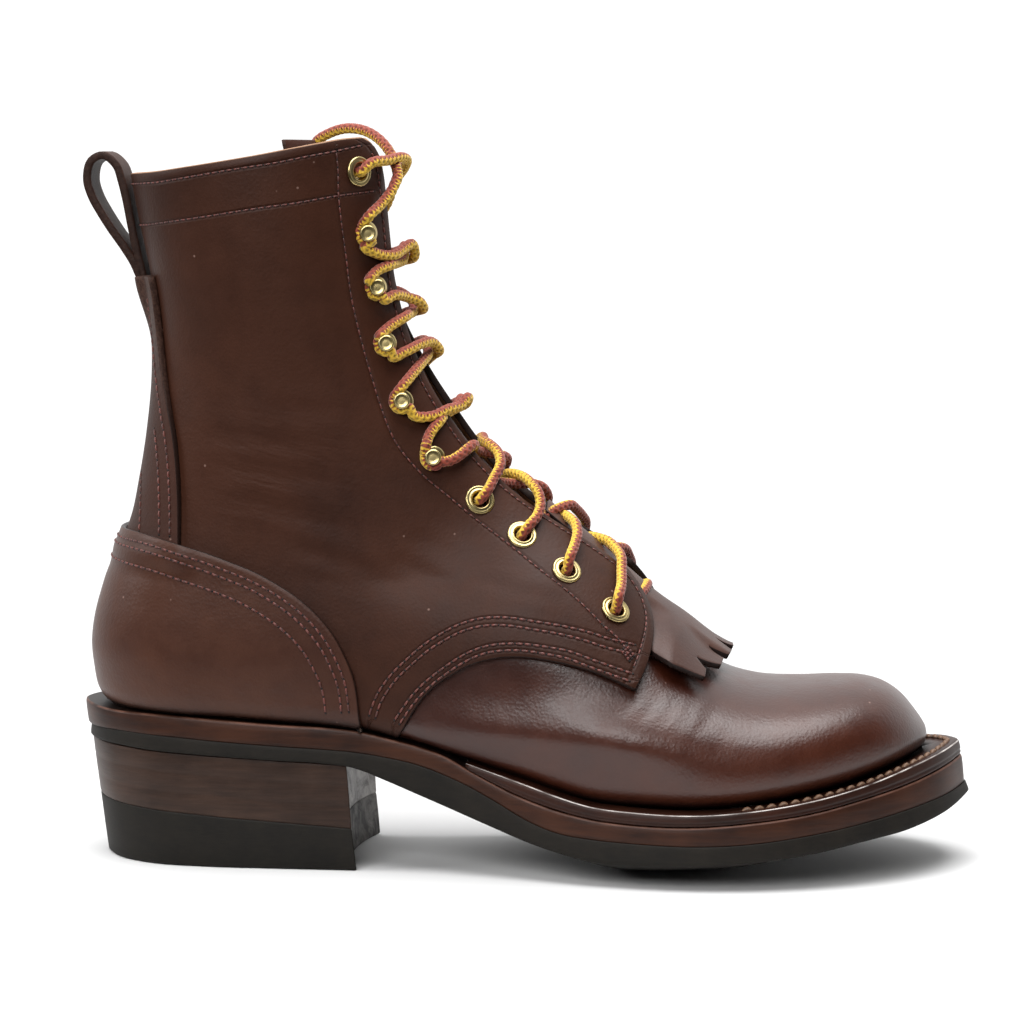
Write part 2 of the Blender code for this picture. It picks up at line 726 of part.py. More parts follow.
def seated_vamp(points):
    """The vamp's lower edges set just clear of the sole."""
    for row in (points[0], points[-1]):
        row[:, 2] = seat_z(row[:, 0]) + GAP
    points[:, -1, 2] = seat_z(points[0, -1, 0]) + GAP
    return points


def quarter_skin(height):
    """Quarter grid at a height over the skin without laps."""
    return seated_quarter(quarter + quarter_normal * np.asarray(height)[..., None])


lift = flap_lift(quarter[..., 0], quarter[..., 2])
lap_reach = smooth_step(0.0, 34.0, 92.0 + 1.0 * (quarter[..., 2] - 56.0) - quarter[..., 0] + 34.0)
lining = VAMP_WALL + (LINING - VAMP_WALL) * lap_reach
for i, j in shared:
    lining[i, j] = lining[i, LAST - j] = VAMP_WALL
quarter_outer = quarter_skin(lift)
quarter_inner = quarter_skin(-lining)
vamp_outer = seated_vamp(vamp.copy())
vamp_inner = seated_vamp(vamp - vamp_normal * VAMP_WALL)


def upper_solid():
    """One hollow solid: outer and inner skins of quarters and vamp, closed along every free edge."""
    rows, cols = quarter.shape[:2]
    v_rows, v_cols = vamp.shape[:2]
    count = rows * cols
    q_out = np.arange(count).reshape(rows, cols)
    q_in = q_out + count
    v_out = np.arange(v_rows * v_cols).reshape(v_rows, v_cols) + 2 * count
    v_in = v_out + v_rows * v_cols
    for k, (i, j) in enumerate(shared):
        v_in[k, 0] = q_in[i, j]
        v_in[v_rows - 1 - k, 0] = q_in[i, cols - 1 - j]
    faces = []
    for outside, inside in ((q_out, q_in), (v_out, v_in)):
        for i in range(outside.shape[0] - 1):
            for j in range(outside.shape[1] - 1):
                faces.append((outside[i, j], outside[i, j + 1], outside[i + 1, j + 1], outside[i + 1, j]))
                faces.append((inside[i, j], inside[i + 1, j], inside[i + 1, j + 1], inside[i, j + 1]))
    throat = len(shared) - 1
    strips = [[(q_out[-1, j], q_in[-1, j]) for j in range(cols)]]
    strips.append([(v_out[i, 0], v_in[i, 0]) for i in range(throat, v_rows - throat)])
    strips.append([(v_out[0, j], v_in[0, j]) for j in range(v_cols)])
    strips.append([(v_out[-1, j], v_in[-1, j]) for j in range(v_cols)])
    for edge in (0, cols - 1):
        turned = [(i, j if edge == 0 else cols - 1 - j) for i, j in shared]
        on_vamp = [k if edge == 0 else v_rows - 1 - k for k in range(len(shared))]
        strips.append([(q_out[place], v_out[k, 0]) for k, place in zip(on_vamp, turned)])
        strips.append([(q_out[i, edge], q_in[i, edge]) for i in range(WING_CELLS + 1, rows)])
        low, next_up = WING_CELLS, WING_CELLS + 1
        faces.append((q_out[low, edge], q_out[next_up, edge], q_in[next_up, edge], q_in[low, edge],
                      v_out[on_vamp[-1], 0]))
        at = ARCH_CELLS if edge == 0 else cols - 1 - ARCH_CELLS
        beside = at + (1 if edge == 0 else -1)
        faces.append((q_out[0, at], q_out[0, beside], q_in[0, beside], q_in[0, at], v_out[on_vamp[0], 0]))
    strips.append([(q_out[0, j], q_in[0, j]) for j in range(ARCH_CELLS + 1, cols - 1 - ARCH_CELLS)])
    for strip in strips:
        for (a, b), (c, d) in zip(strip, strip[1:]):
            faces.append((a, c, d, b))
    points = [quarter_outer, quarter_inner, vamp_outer, vamp_inner]
    vertices = np.vstack([part.reshape(-1, 3) for part in points])
    used = sorted({int(v) for face in faces for v in face})
    place = {v: k for k, v in enumerate(used)}
    return vertices[used], [tuple(place[int(v)] for v in face) for face in faces]


upper = add_solid("upper", *upper_solid(), brown, boot)


# The counter and the backstay: leather cut from the form of the quarters, just over their skin.
def over_quarter(name, rows, reach, leather_height, outline, material):
    """Leather over the quarters' own facets, cut to a side-view outline."""
    middle = LAST // 2
    part = (slice(*rows), slice(middle - reach, middle + reach + 1))
    inner = quarter_skin(lift + GAP)[part]
    outer = quarter_skin(lift + GAP + leather_height)[part]
    piece = add_solid(name, *shell_between(outer, inner), material, boot)
    cut(piece, side_prism(name + "_outline", outline, 80.0, cutters), "INTERSECT")
    return piece


counter_outline = np.vstack([COUNTER_EDGE, (-20.0, 44.0)])
over_quarter("counter", (0, 10), 9, COUNTER_LEATHER, counter_outline, vamp_brown)

under_counter = COUNTER_EDGE[:4] + (0.0, 0.4)
under_counter[-1] = BACKSTAY_EDGE[0, 0], np.interp(BACKSTAY_EDGE[0, 0], COUNTER_EDGE[:, 0], COUNTER_EDGE[:, 1]) + 0.4
backstay_outline = np.vstack([under_counter, BACKSTAY_EDGE[1:], (-20.0, BACKSTAY_EDGE[-1, 1])])
over_quarter("backstay", (6, 16), 6, BACKSTAY_LEATHER, backstay_outline, vamp_brown)


# The pull loop: a folded strap that stands above the backstay.
def pull_loop():
    """Flat strap along the loop's line, as wide as the backstay's top."""
    path = along(PULL_LOOP, np.linspace(0.0, 1.0, 23))
    tangent = np.gradient(path, axis=0)
    normal = np.stack([tangent[:, 1], -tangent[:, 0]], axis=1)
    normal /= np.linalg.norm(normal, axis=1)[:, None]
    skins = []
    for half in (-0.5, 0.5):
        line = path + normal * half * LOOP_LEATHER
        edges = [np.column_stack([line[:, 0], np.full(len(line), y), line[:, 1]])
                 for y in (-LOOP_WIDTH / 2.0, LOOP_WIDTH / 2.0)]
        skins.append(np.stack(edges, axis=1))
    return add_solid("pull_loop", *shell_between(*skins), vamp_brown, boot)


pull_loop()


# The insole: a leather board on the sole, just inside the foot of the upper.
def insole():
    """Board between the outer and inner feet of the upper's wall."""
    middle = LAST // 2
    chains = []
    for heel, toe in ((quarter_inner[0, middle:ARCH_CELLS - 1:-1], vamp_inner[0, 1:]),
                      (quarter_inner[0, middle:LAST - ARCH_CELLS + 1], vamp_inner[-1, 1:])):
        chains.append(np.vstack([heel, toe]))
    centre = (chains[0] + chains[1]) / 2.0
    rims = []
    for chain in chains:
        away = chain - centre
        away *= np.maximum(1.0 - 0.7 / np.maximum(np.linalg.norm(away, axis=1), 0.7), 0.0)[:, None]
        rims.append(centre + away)
    rims = [rim[1:-1] for rim in rims]
    across = np.linspace(0.0, 1.0, 3)[None, :, None]
    plan = rims[0][:, None] * (1.0 - across) + rims[1][:, None] * across
    plan[..., 2] = seat_z(plan[..., 0]) + 2.0 * GAP
    return add_solid("insole", *shell_between(plan + (0.0, 0.0, INSOLE_LEATHER), plan), insole_tan, boot)


insole()


# The tongue: leather behind the flaps, from under the vamp to just over the collar, its top leaning back.
TONGUE_LOW = 91.0
TONGUE_HIGH = 250.0
TONGUE_LEAN = 15.0


def front_strip(levels, reaches, cells):
    """Grid round the boot's front at the given heights, reaching a half width on either side."""
    rising = FRONT_FINE[::-1]
    turn = np.sin(np.linspace(-0.5 * math.pi, 0.5 * math.pi, cells + 1) * 0.92) / math.sin(0.46 * math.pi)
    grid = []
    for height, reach in zip(levels, reaches):
        front = np.interp(height, rising[:, 1], rising[:, 0])
        x = np.linspace(front - 60.0, front, 900)
        row = []
        for share in turn:
            side = LATERAL if share < 0.0 else MEDIAL
            width = half_width(x, np.full_like(x, height), side)
            at = np.interp(-abs(share) * reach, -width[300:], x[300:])
            row.append((at, axis_y(at) + share * reach, height))
        grid.append(row)
    return np.array(grid)


tongue_levels = np.concatenate([np.linspace(TONGUE_LOW, 152.0, 7), np.linspace(164.0, TONGUE_HIGH, 7)])
tongue_reach = 17.0 + 5.0 * smooth_step(110.0, 200.0, tongue_levels)
tongue_skin = front_strip(tongue_levels, tongue_reach, 8)
tongue_normal = grid_normals(tongue_skin)
tongue_normal *= np.sign(tongue_normal[..., :1])
lean = np.zeros_like(tongue_skin)
lean[..., 0] = -TONGUE_LEAN * smooth_step(214.0, 258.0, tongue_skin[..., 2])
tongue_outer = tongue_skin - tongue_normal * TONGUE_DEPTH + lean
tongue_inner = tongue_skin - tongue_normal * (TONGUE_DEPTH + TONGUE_LEATHER) + lean
add_solid("tongue", *shell_between(tongue_outer, tongue_inner), brown, boot)


# The kiltie: a leather flap laced over the instep, wide and fringed over the vamp.
def kiltie():
    """Leather over the instep by stations along the foot, each at its height over the front line."""
    stations = np.linspace(KILTIE[0, 0], KILTIE[-1, 0], 12)
    grid = []
    for x in stations:
        half = column(KILTIE, 1, x)
        z = np.linspace(seat_z(x) + 0.35 * (front_z(x) - seat_z(x)), front_z(x), 900)
        row = []
        for share in np.linspace(-1.0, 1.0, 7):
            side = LATERAL if share < 0.0 else MEDIAL
            width = half_width(np.full_like(z, x), z, side)
            row.append((x, axis_y(x) + share * half, np.interp(-abs(share) * half, -width, z)))
        grid.append(row)
    grid = np.array(grid)
    normal = grid_normals(grid)
    normal *= np.sign(normal[..., 2:])
    height = column(KILTIE, 2, grid[..., 0])[..., None]
    shell = shell_between(grid + normal * height, grid + normal * (height - KILTIE_LEATHER))
    return add_solid("kiltie", *shell, vamp_brown, boot)


kiltie()


# Eyelets and hooks: turned brass on both flaps, each square to the leather under it.
FLANGE_REST = 0.85
EYELET_PROFILE = (
    (EYELET_HOLE_RADIUS + 0.4, FLANGE_REST + 0.9),
    (EYELET_FLANGE_RADIUS - 0.5, FLANGE_REST + 0.9),
    (EYELET_FLANGE_RADIUS, FLANGE_REST),
    (EYELET_BARREL_RADIUS, FLANGE_REST),
    (EYELET_BARREL_RADIUS, -2.2),
    (EYELET_HOLE_RADIUS, -2.2),
)
HOOK_PROFILE = (
    (0.0, HOOK_HEIGHT),
    (HOOK_CAP_RADIUS, HOOK_HEIGHT - 1.2),
    (HOOK_NECK_RADIUS, HOOK_HEIGHT - 1.3),
    (HOOK_NECK_RADIUS, FLANGE_REST + 0.8),
    (HOOK_BASE_RADIUS, FLANGE_REST + 0.5),
    (HOOK_BASE_RADIUS, FLANGE_REST),
    (0.0, FLANGE_REST),
)


def lacing_frame(row, side):
    """Place of a lacing row on a flap: point on the skin, outward normal, way up the flap, way to the throat."""
    x, z = LACING_ROWS[row]
    point, normal = skin_place(x, z, side, flap_lift(x, z))
    near = LACING_ROWS[max(row - 1, 0)], LACING_ROWS[min(row + 1, len(LACING_ROWS) - 1)]
    ends = [skin_place(a, b, side, flap_lift(a, b))[0] for a, b in near]
    up = ends[1] - ends[0]
    up -= normal * np.dot(up, normal)
    up /= np.linalg.norm(up)
    throat = np.cross(normal, up)
    throat *= -math.copysign(1.0, throat[1] * side)
    return point, normal, up, throat


def turned(name, profile, closed, steps, place, material):
    """Brass turned from a profile of radius and height, its axis along the leather's normal."""
    mesh = bpy.data.meshes.new(name)
    points = [(radius * MM, 0.0, height * MM) for radius, height in profile]
    edges = [(k, k + 1) for k in range(len(points) - 1)]
    if closed:
        edges.append((len(points) - 1, 0))
    mesh.from_pydata(points, edges, [])
    mesh.materials.append(material)
    piece = bpy.data.objects.new(name, mesh)
    boot.objects.link(piece)
    screw = piece.modifiers.new("turn", "SCREW")
    screw.steps = screw.render_steps = steps
    screw.use_merge_vertices = True
    screw.merge_threshold = 0.00005
    screw.use_normal_calculate = False
    point, normal, up, throat = place
    turn = Matrix((throat, np.cross(normal, throat), normal)).transposed().to_4x4()
    piece.matrix_world = Matrix.Translation(to_world(point)) @ turn
    return piece


def eyelet_holes():
    """Cutters through the flaps for the eyelets' barrels."""
    work = bmesh.new()
    for row in EYELET_ROWS:
        for side in (LATERAL, MEDIAL):
            point, normal, up, throat = lacing_frame(row, side)
            turn = Matrix((throat, np.cross(normal, throat), normal)).transposed().to_4x4()
            radius = (EYELET_BARREL_RADIUS + GAP) * MM
            bmesh.ops.create_cone(work, cap_ends=True, segments=10, radius1=radius, radius2=radius,
                                  depth=26.0 * MM, matrix=Matrix.Translation(to_world(point)) @ turn)
    mesh = bpy.data.meshes.new("eyelet_holes")
    work.to_mesh(mesh)
    work.free()
    holes = bpy.data.objects.new("eyelet_holes", mesh)
    cutters.objects.link(holes)
    holes.hide_render = True
    holes.display_type = "WIRE"
    return holes


cut(upper, eyelet_holes(), "DIFFERENCE")
for side, side_name in ((LATERAL, "lateral"), (MEDIAL, "medial")):
    for row in range(len(LACING_ROWS)):
        frame = lacing_frame(row, side)
        if row in EYELET_ROWS:
            number = EYELET_ROWS.index(row) + 1
            turned(f"eyelet_{side_name}_{number}", EYELET_PROFILE, True, 10, frame, brass_metal)
        else:
            turned(f"hook_{side_name}_{row - 3}", HOOK_PROFILE, False, 10, frame, brass_metal)


# The lace: a crossing between each two rows, and the free end that goes over the collar.
EDGE_LINE = np.column_stack([throat_edge(np.linspace(97.4, 248.0, 200)), np.linspace(97.4, 248.0, 200)])
EDGE_RUN = chord_lengths(EDGE_LINE)


def edge_share(row):
    """Distance along the flap's edge of the place nearest to a lacing row."""
    return EDGE_RUN[np.argmin(np.linalg.norm(EDGE_LINE - LACING_ROWS[row], axis=1))]


def edge_point(run, side, height):
    """Point over the flap's edge at a distance along it."""
    x, z = (np.interp(run, EDGE_RUN, EDGE_LINE[:, k]) for k in range(2))
    return skin_place(x, z, side, flap_lift(x, z) + height)[0]


def front_point(run, height):
    """Point in front of the boot's middle line, level with a distance along the flap's edge."""
    x, z = (np.interp(run, EDGE_RUN, EDGE_LINE[:, k]) for k in range(2))
    k = np.argmin(np.hypot(FRONT_FINE[:, 0] - x, FRONT_FINE[:, 1] - z))
    slope = FRONT_FINE[k + 1] - FRONT_FINE[k - 1]
    away = np.array([-slope[1], slope[0]]) / np.linalg.norm(slope)
    x, z = FRONT_FINE[k] + away * (flap_lift(*FRONT_FINE[k]) + height)
    return np.array([x, axis_y(x), z])


def leaving(row, side):
    """Where a strand starts: over the eyelet's hole, or beside the hook's neck on its upper side."""
    point, normal, up, throat = lacing_frame(row, side)
    if row in EYELET_ROWS:
        return point + normal * (3.0 + LACE_RADIUS)
    return point + normal * 3.5 + throat * 3.6 + up * 3.6


def arriving(row, side):
    """Where a strand ends: short of the flap below an eyelet, or beside the hook's neck on its lower side."""
    if row in EYELET_ROWS and row < 9:
        run = edge_share(row) - 3.0
        inner = 0.66 * edge_point(run, side, 1.8) + 0.34 * front_point(run, 1.8)
        return inner
    point, normal, up, throat = lacing_frame(row, side)
    if row == 9:
        return point + normal * (3.0 + LACE_RADIUS)
    return point + normal * 3.5 + throat * 3.6 - up * 3.6


def strand(name, points, collection):
    """Round cord along a smooth line through the points."""
    path = along(np.array(points), np.linspace(0.0, 1.0, 8 if len(points) < 7 else 16))
    curve = bpy.data.curves.new(name, "CURVE")
    curve.dimensions = "3D"
    spline = curve.splines.new("POLY")
    spline.points.add(len(path) - 1)
    for point, place in zip(spline.points, to_world(path)):
        point.co = (*place, 1.0)
    curve.bevel_depth = LACE_RADIUS * MM
    curve.bevel_resolution = 2
    curve.use_fill_caps = True
    shape = bpy.data.objects.new(name, curve)
    bpy.context.scene.collection.objects.link(shape)
    bpy.context.view_layer.update()
    mesh = bpy.data.meshes.new_from_object(shape.evaluated_get(bpy.context.evaluated_depsgraph_get()))
    bpy.data.objects.remove(shape)
    work = bmesh.new()
    work.from_mesh(mesh)
    bmesh.ops.remove_doubles(work, verts=work.verts, dist=0.000005)
    bmesh.ops.recalc_face_normals(work, faces=work.faces)
    work.to_mesh(mesh)
    work.free()
    mesh.materials.clear()
    mesh.materials.append(lace_cord)
    cord = bpy.data.objects.new(name, mesh)
    collection.objects.link(cord)
    return cord


def crossing_line(row, side):
    """Points of the strand from one side at a row to the other side at the next row."""
    low, high = edge_share(row), edge_share(row + 1)
    over = LACE_RADIUS + (3.0 if row == 8 else 1.0)
    points = [leaving(row, side), edge_point(low + 0.28 * (high - low), side, over)]
    points.append(front_point(0.5 * (low + high), over + 0.2))
    if row + 1 not in EYELET_ROWS or row + 1 == 9:
        points.append(edge_point(low + 0.72 * (high - low), -side, over))
    points.append(arriving(row + 1, -side))
    return points


for row in range(8):
    crossing = strand(f"lace_crossing_{row + 1}", crossing_line(row, LATERAL), boot)
    other = strand(f"lace_crossing_{row + 1}_other", crossing_line(row, MEDIAL), cutters)
    other.hide_render = True
    other.display_type = "WIRE"
    cut(crossing, other, "UNION")
strand("lace_crossing_9", crossing_line(8, MEDIAL), boot)

LACE_END = [
    (108.2, -10.5, 235.5),
    (107.0, -9.0, 246.0),
    (103.0, -5.0, 254.0),
    (94.0, 1.0, 257.0),
    (84.0, 7.0, 253.0),
    (80.0, 14.0, 242.0),
    (86.0, 19.0, 235.0),
]
edge_9 = edge_share(8)
strand("lace_end", [leaving(8, LATERAL), edge_point(edge_9 + 6.0, LATERAL, LACE_RADIUS + 1.0), *LACE_END], boot)
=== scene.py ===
"""Packer boot for the right foot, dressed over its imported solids.

Sizes are in millimetres from the back of the sole: toe along +X, outer side of the foot -Y, floor at z = 0.
"""

import math

import bmesh
import bpy
import numpy as np
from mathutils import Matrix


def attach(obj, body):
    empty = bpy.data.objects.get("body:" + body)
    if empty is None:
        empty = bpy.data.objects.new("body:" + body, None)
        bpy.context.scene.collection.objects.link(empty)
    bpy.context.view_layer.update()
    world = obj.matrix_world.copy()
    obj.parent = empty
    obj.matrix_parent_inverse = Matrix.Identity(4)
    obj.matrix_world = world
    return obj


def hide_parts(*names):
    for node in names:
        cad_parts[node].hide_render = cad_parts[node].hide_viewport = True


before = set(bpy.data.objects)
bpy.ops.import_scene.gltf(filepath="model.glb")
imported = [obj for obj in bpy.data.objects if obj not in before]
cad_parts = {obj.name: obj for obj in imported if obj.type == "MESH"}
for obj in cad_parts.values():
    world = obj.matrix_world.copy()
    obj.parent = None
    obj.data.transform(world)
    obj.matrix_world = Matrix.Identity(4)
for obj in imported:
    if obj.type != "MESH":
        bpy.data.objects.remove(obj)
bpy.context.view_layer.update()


# Insole: a board of bark-tanned leather cut to the last, laid inside the upper on the midsole.
# It shows pale at the bottom of the shaft.
MM = 0.001
BOOT_MIDDLE = np.array((155.15, -0.65, 0.0))
LATERAL, MEDIAL = -1, 1
INSOLE_LEATHER, INSOLE_INSET, INSOLE_CLEAR = 3.0, 9.0, 0.6
TOE_FROM, TOE_TO = 258.0, 304.0
WELD = 0.002

# Outline of the foot at its fullest height: x, outer edge y, inner edge y.
FOOT_OUTLINE = np.array([
    (4.0, 0.0, 0.0), (12.0, -19.0, 19.0), (26.0, -29.0, 29.0), (50.0, -34.0, 33.5), (75.0, -35.0, 33.5),
    (100.0, -36.0, 33.5), (130.0, -39.2, 34.6), (155.0, -43.4, 38.2), (180.0, -48.2, 44.0),
    (200.0, -51.0, 48.2), (217.0, -51.8, 50.2), (236.0, -49.6, 50.2), (255.0, -43.6, 47.2),
    (271.0, -34.6, 41.4), (284.0, -23.2, 32.6), (292.0, -11.0, 22.8), (297.0, 7.5, 7.5),
])

# Height of each sole layer at the edge: x, top, under the welt, under the midsole, under the outsole.
SOLE_LAYERS = np.array([
    (0.0, 54.0, 54.0, 45.6, 41.5), (15.0, 53.1, 53.1, 46.3, 41.3), (30.0, 52.8, 52.8, 45.7, 40.4),
    (50.0, 51.7, 51.7, 44.4, 39.4), (73.0, 50.2, 50.2, 43.0, 38.2), (90.0, 49.5, 49.5, 42.2, 37.5),
    (100.0, 48.6, 48.6, 41.5, 36.2), (111.0, 46.4, 46.4, 40.0, 32.2), (123.0, 43.5, 43.5, 37.5, 27.4),
    (132.0, 41.0, 40.6, 34.4, 23.9), (138.0, 39.2, 37.4, 32.0, 21.6), (149.0, 36.0, 32.0, 26.6, 17.5),
    (160.0, 32.8, 27.6, 20.8, 13.6), (170.0, 29.8, 24.8, 17.4, 10.9), (182.0, 27.0, 22.5, 16.0, 8.6),
    (197.0, 25.9, 21.4, 15.4, 8.1), (217.0, 25.6, 21.4, 15.1, 8.8), (237.0, 27.1, 23.0, 16.1, 10.0),
    (255.0, 29.6, 25.2, 18.2, 11.9), (273.0, 33.3, 28.7, 20.9, 14.9), (291.0, 38.3, 32.6, 24.1, 17.8),
    (302.0, 41.1, 35.6, 26.1, 21.0), (310.0, 42.5, 37.4, 27.6, 24.2),
])
TOP, UNDER_WELT, UNDER_MIDSOLE, UNDER_OUTSOLE = 1, 2, 3, 4

# Marks of a sole layer's hidden top and of its underside; on its edge the mark is the share of the way down.
HIDDEN_FACE, UNDER_FACE = -1.0, 2.0


def smooth_through(at, knots, values):
    """Cubic through the rows of a table, with each slope taken from the neighbouring rows."""
    at = np.asarray(at, float)
    slopes = np.gradient(values, knots, axis=0)
    i = np.clip(np.searchsorted(knots, at) - 1, 0, len(knots) - 2)
    step = knots[i + 1] - knots[i]
    u = np.clip((at - knots[i]) / step, 0.0, 1.0)
    if values.ndim > 1:
        u, step = u[..., None], step[..., None]
    low, high = values[i], values[i + 1]
    m0, m1 = slopes[i] * step, slopes[i + 1] * step
    return low + u * (m0 + u * (3.0 * (high - low) - 2.0 * m0 - m1 + u * (2.0 * (low - high) + m0 + m1)))


def column(table, number, at):
    """One column of a table as a smooth function of its first column."""
    return smooth_through(at, table[:, 0], table[:, number])


def seat_z(x):
    """Height of the line where the upper meets the sole."""
    return column(SOLE_LAYERS, TOP, x)


def chord_lengths(points):
    """Distance along a row of points from its first one."""
    return np.concatenate([[0.0], np.cumsum(np.linalg.norm(np.diff(points, axis=0), axis=1))])


def along(points, shares, fineness=600):
    """Points on the smooth curve through a row of points, at the given shares of its length."""
    points = np.asarray(points, float)
    run = chord_lengths(points)
    fine = smooth_through(np.linspace(0.0, run[-1], fineness), run, points)
    length = chord_lengths(fine)
    at = np.asarray(shares) * length[-1]
    return np.stack([np.interp(at, length, fine[:, k]) for k in range(points.shape[1])], axis=1)


def smooth_step(low, high, value):
    """Rises from 0 at low to 1 at high with level ends."""
    u = np.clip((value - low) / (high - low), 0.0, 1.0)
    return u * u * (3.0 - 2.0 * u)


def outline_halves(rows, count, inset=0.0, toe_inset=0.0):
    """Outer and inner halves of a closed outline from heel to toe, moved in by an inset, more at the toe."""
    loop = np.vstack([rows[:, :2], rows[1:-1][::-1][:, [0, 2]]])
    padded = np.vstack([loop[-3:], loop, loop[:4]])
    run = chord_lengths(padded)
    start, toe, end = run[3], run[3 + len(rows) - 1], run[3 + len(loop)]
    halves = []
    for first, turn in ((start, 1.0), (end, -1.0)):
        fine = smooth_through(np.linspace(first, toe, 600), run, padded)
        tangent = np.gradient(fine, axis=0)
        normal = np.stack([-tangent[:, 1], tangent[:, 0]], axis=1)
        by = inset + toe_inset * smooth_step(TOE_FROM, TOE_TO, fine[:, :1])
        fine = fine + normal / np.linalg.norm(normal, axis=1)[:, None] * by * turn
        length = chord_lengths(fine)
        shares = np.linspace(0.0, length[-1], count + 1)
        halves.append(np.stack([np.interp(shares, length, fine[:, k]) for k in range(2)], axis=1))
    return halves


def linear(code):
    """Linear colour of an sRGB hex value."""
    srgb = np.array([int(code[k:k + 2], 16) for k in (0, 2, 4)]) / 255.0
    return (*np.where(srgb <= 0.04045, srgb / 12.92, ((srgb + 0.055) / 1.055) ** 2.4), 1.0)


def node(tree, kind, settings, links=()):
    """Adds one node with its settings, by property or socket name, and its links; returns its main output."""
    made = tree.nodes.new("ShaderNode" + kind)
    for name, value in settings.items():
        if isinstance(name, str) and name in made.bl_rna.properties:
            setattr(made, name, value)
        else:
            made.inputs[name].default_value = value
    for name, source in dict(links).items():
        tree.links.new(source, made.inputs[name])
    return made.outputs.get("Fac") or made.outputs[2 if kind == "Mix" else 0]


def new_finish(name, roughness, **sockets):
    """An empty material: its tree, its shader and the Object coordinates that its patterns read."""
    material = bpy.data.materials.new(name)
    material.use_nodes = True
    tree = material.node_tree
    shader = tree.nodes["Principled BSDF"]
    shader.inputs["Roughness"].default_value = roughness
    for socket, value in sockets.items():
        shader.inputs[socket.replace("_", " ")].default_value = value
    return material, tree, shader, node(tree, "TexCoord", {}).node.outputs["Object"]


def to_world(points):
    """Millimetres from the back of the sole to metres from the middle of the boot."""
    return (np.asarray(points, float) - BOOT_MIDDLE) * MM


def boot_piece(name, vertices, quads, finishes, nodes=(), values=None, which=None, merge=False):
    """A closed mesh that rides on the boot: values are its point attributes, which is each face's finish."""
    corners = (vertices - vertices.mean(axis=0))[quads]
    turned = np.cross(corners[:, 1], corners[:, 2]) + np.cross(corners[:, 2], corners[:, 3])
    if np.sum(corners[:, 0] * turned) < 0.0:
        quads = quads[:, ::-1]
    mesh = bpy.data.meshes.new(name)
    mesh.vertices.add(len(vertices))
    mesh.vertices.foreach_set("co", to_world(vertices).astype(np.float32).ravel())
    mesh.loops.add(quads.size)
    mesh.loops.foreach_set("vertex_index", np.ascontiguousarray(quads, np.int32).ravel())
    mesh.polygons.add(len(quads))
    mesh.polygons.foreach_set("loop_start", np.arange(0, quads.size, 4, dtype=np.int32))
    if which is not None:
        mesh.polygons.foreach_set("material_index", np.asarray(which, np.int32))
    for label, value in (values or {}).items():
        kind, field = ("FLOAT_VECTOR", "vector") if np.ndim(value) == 2 else ("FLOAT", "value")
        spread = mesh.attributes.new(label, kind, "POINT")
        spread.data.foreach_set(field, np.asarray(value, np.float32).ravel())
    mesh.update(calc_edges=True)
    if merge:
        work = bmesh.new()
        work.from_mesh(mesh)
        bmesh.ops.remove_doubles(work, verts=work.verts, dist=WELD * MM)
        bmesh.ops.dissolve_degenerate(work, dist=WELD * MM, edges=work.edges)
        work.to_mesh(mesh)
        work.free()
    mesh.validate()
    mesh.shade_smooth()
    for finish in finishes:
        mesh.materials.append(finish)
    piece = bpy.data.objects.new(name, mesh)
    bpy.context.scene.collection.objects.link(piece)
    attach(piece, "root")
    if nodes:
        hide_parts(*nodes)
    return piece


def quads_between(index):
    """Quads between the neighbouring rows and columns of a table of vertex numbers."""
    return np.stack([index[:-1, :-1], index[:-1, 1:], index[1:, 1:], index[1:, :-1]], axis=-1)


def ring_quads(rings, count, wrap_rows=False):
    """Quads between closed rings of points, ring after ring."""
    index = np.arange(rings * count).reshape(rings, count)
    if wrap_rows:
        index = np.vstack([index, index[:1]])
    return quads_between(np.hstack([index, index[:, :1]])).reshape(-1, 4)


def ring_piece(name, rings, finish, slot, nodes, **values):
    """A piece carried over closed rings of points from end to end; values are given ring by ring."""
    flat = {label: value.reshape(-1, *value.shape[2:]) for label, value in values.items()}
    quads = ring_quads(*rings.shape[:2])
    return boot_piece(name, rings.reshape(-1, 3), quads, [finish], nodes, flat, merge=True)


def slab_rings(rows, count, profile, top, bottom, toe_lean=(0.0, 0.0)):
    """Rings of a sole layer: over its top from the middle line, down its edge by share and inset, and under.

    The toe lean is a further inset at the toe, of the top and of the bottom.
    """
    rings, down = [], []
    caps = (0.0, 0.25, 0.5, 0.7, 0.85, 0.95)
    steps = [(share, 0.0, profile[0][1]) for share in caps] + [(1.0, *step) for step in profile]
    steps += [(share, 1.0, profile[-1][1]) for share in caps[::-1]]
    for out, share, inset in steps:
        lean = toe_lean[0] + (toe_lean[1] - toe_lean[0]) * share
        outer, inner = outline_halves(rows, count, inset, lean)
        middle = (outer + inner) / 2.0
        halves = [middle + (half - middle) * out for half in (outer, inner)]
        loop = np.vstack([halves[0], halves[1][-2:0:-1]])
        height = (1.0 - share) * top(loop[:, 0], out) + share * bottom(loop[:, 0], out)
        rings.append(np.column_stack([loop, height]))
        face = HIDDEN_FACE if share == 0.0 else UNDER_FACE
        down.append(np.full(len(loop), share if out == 1.0 else face))
    return np.array(rings), np.array(down)


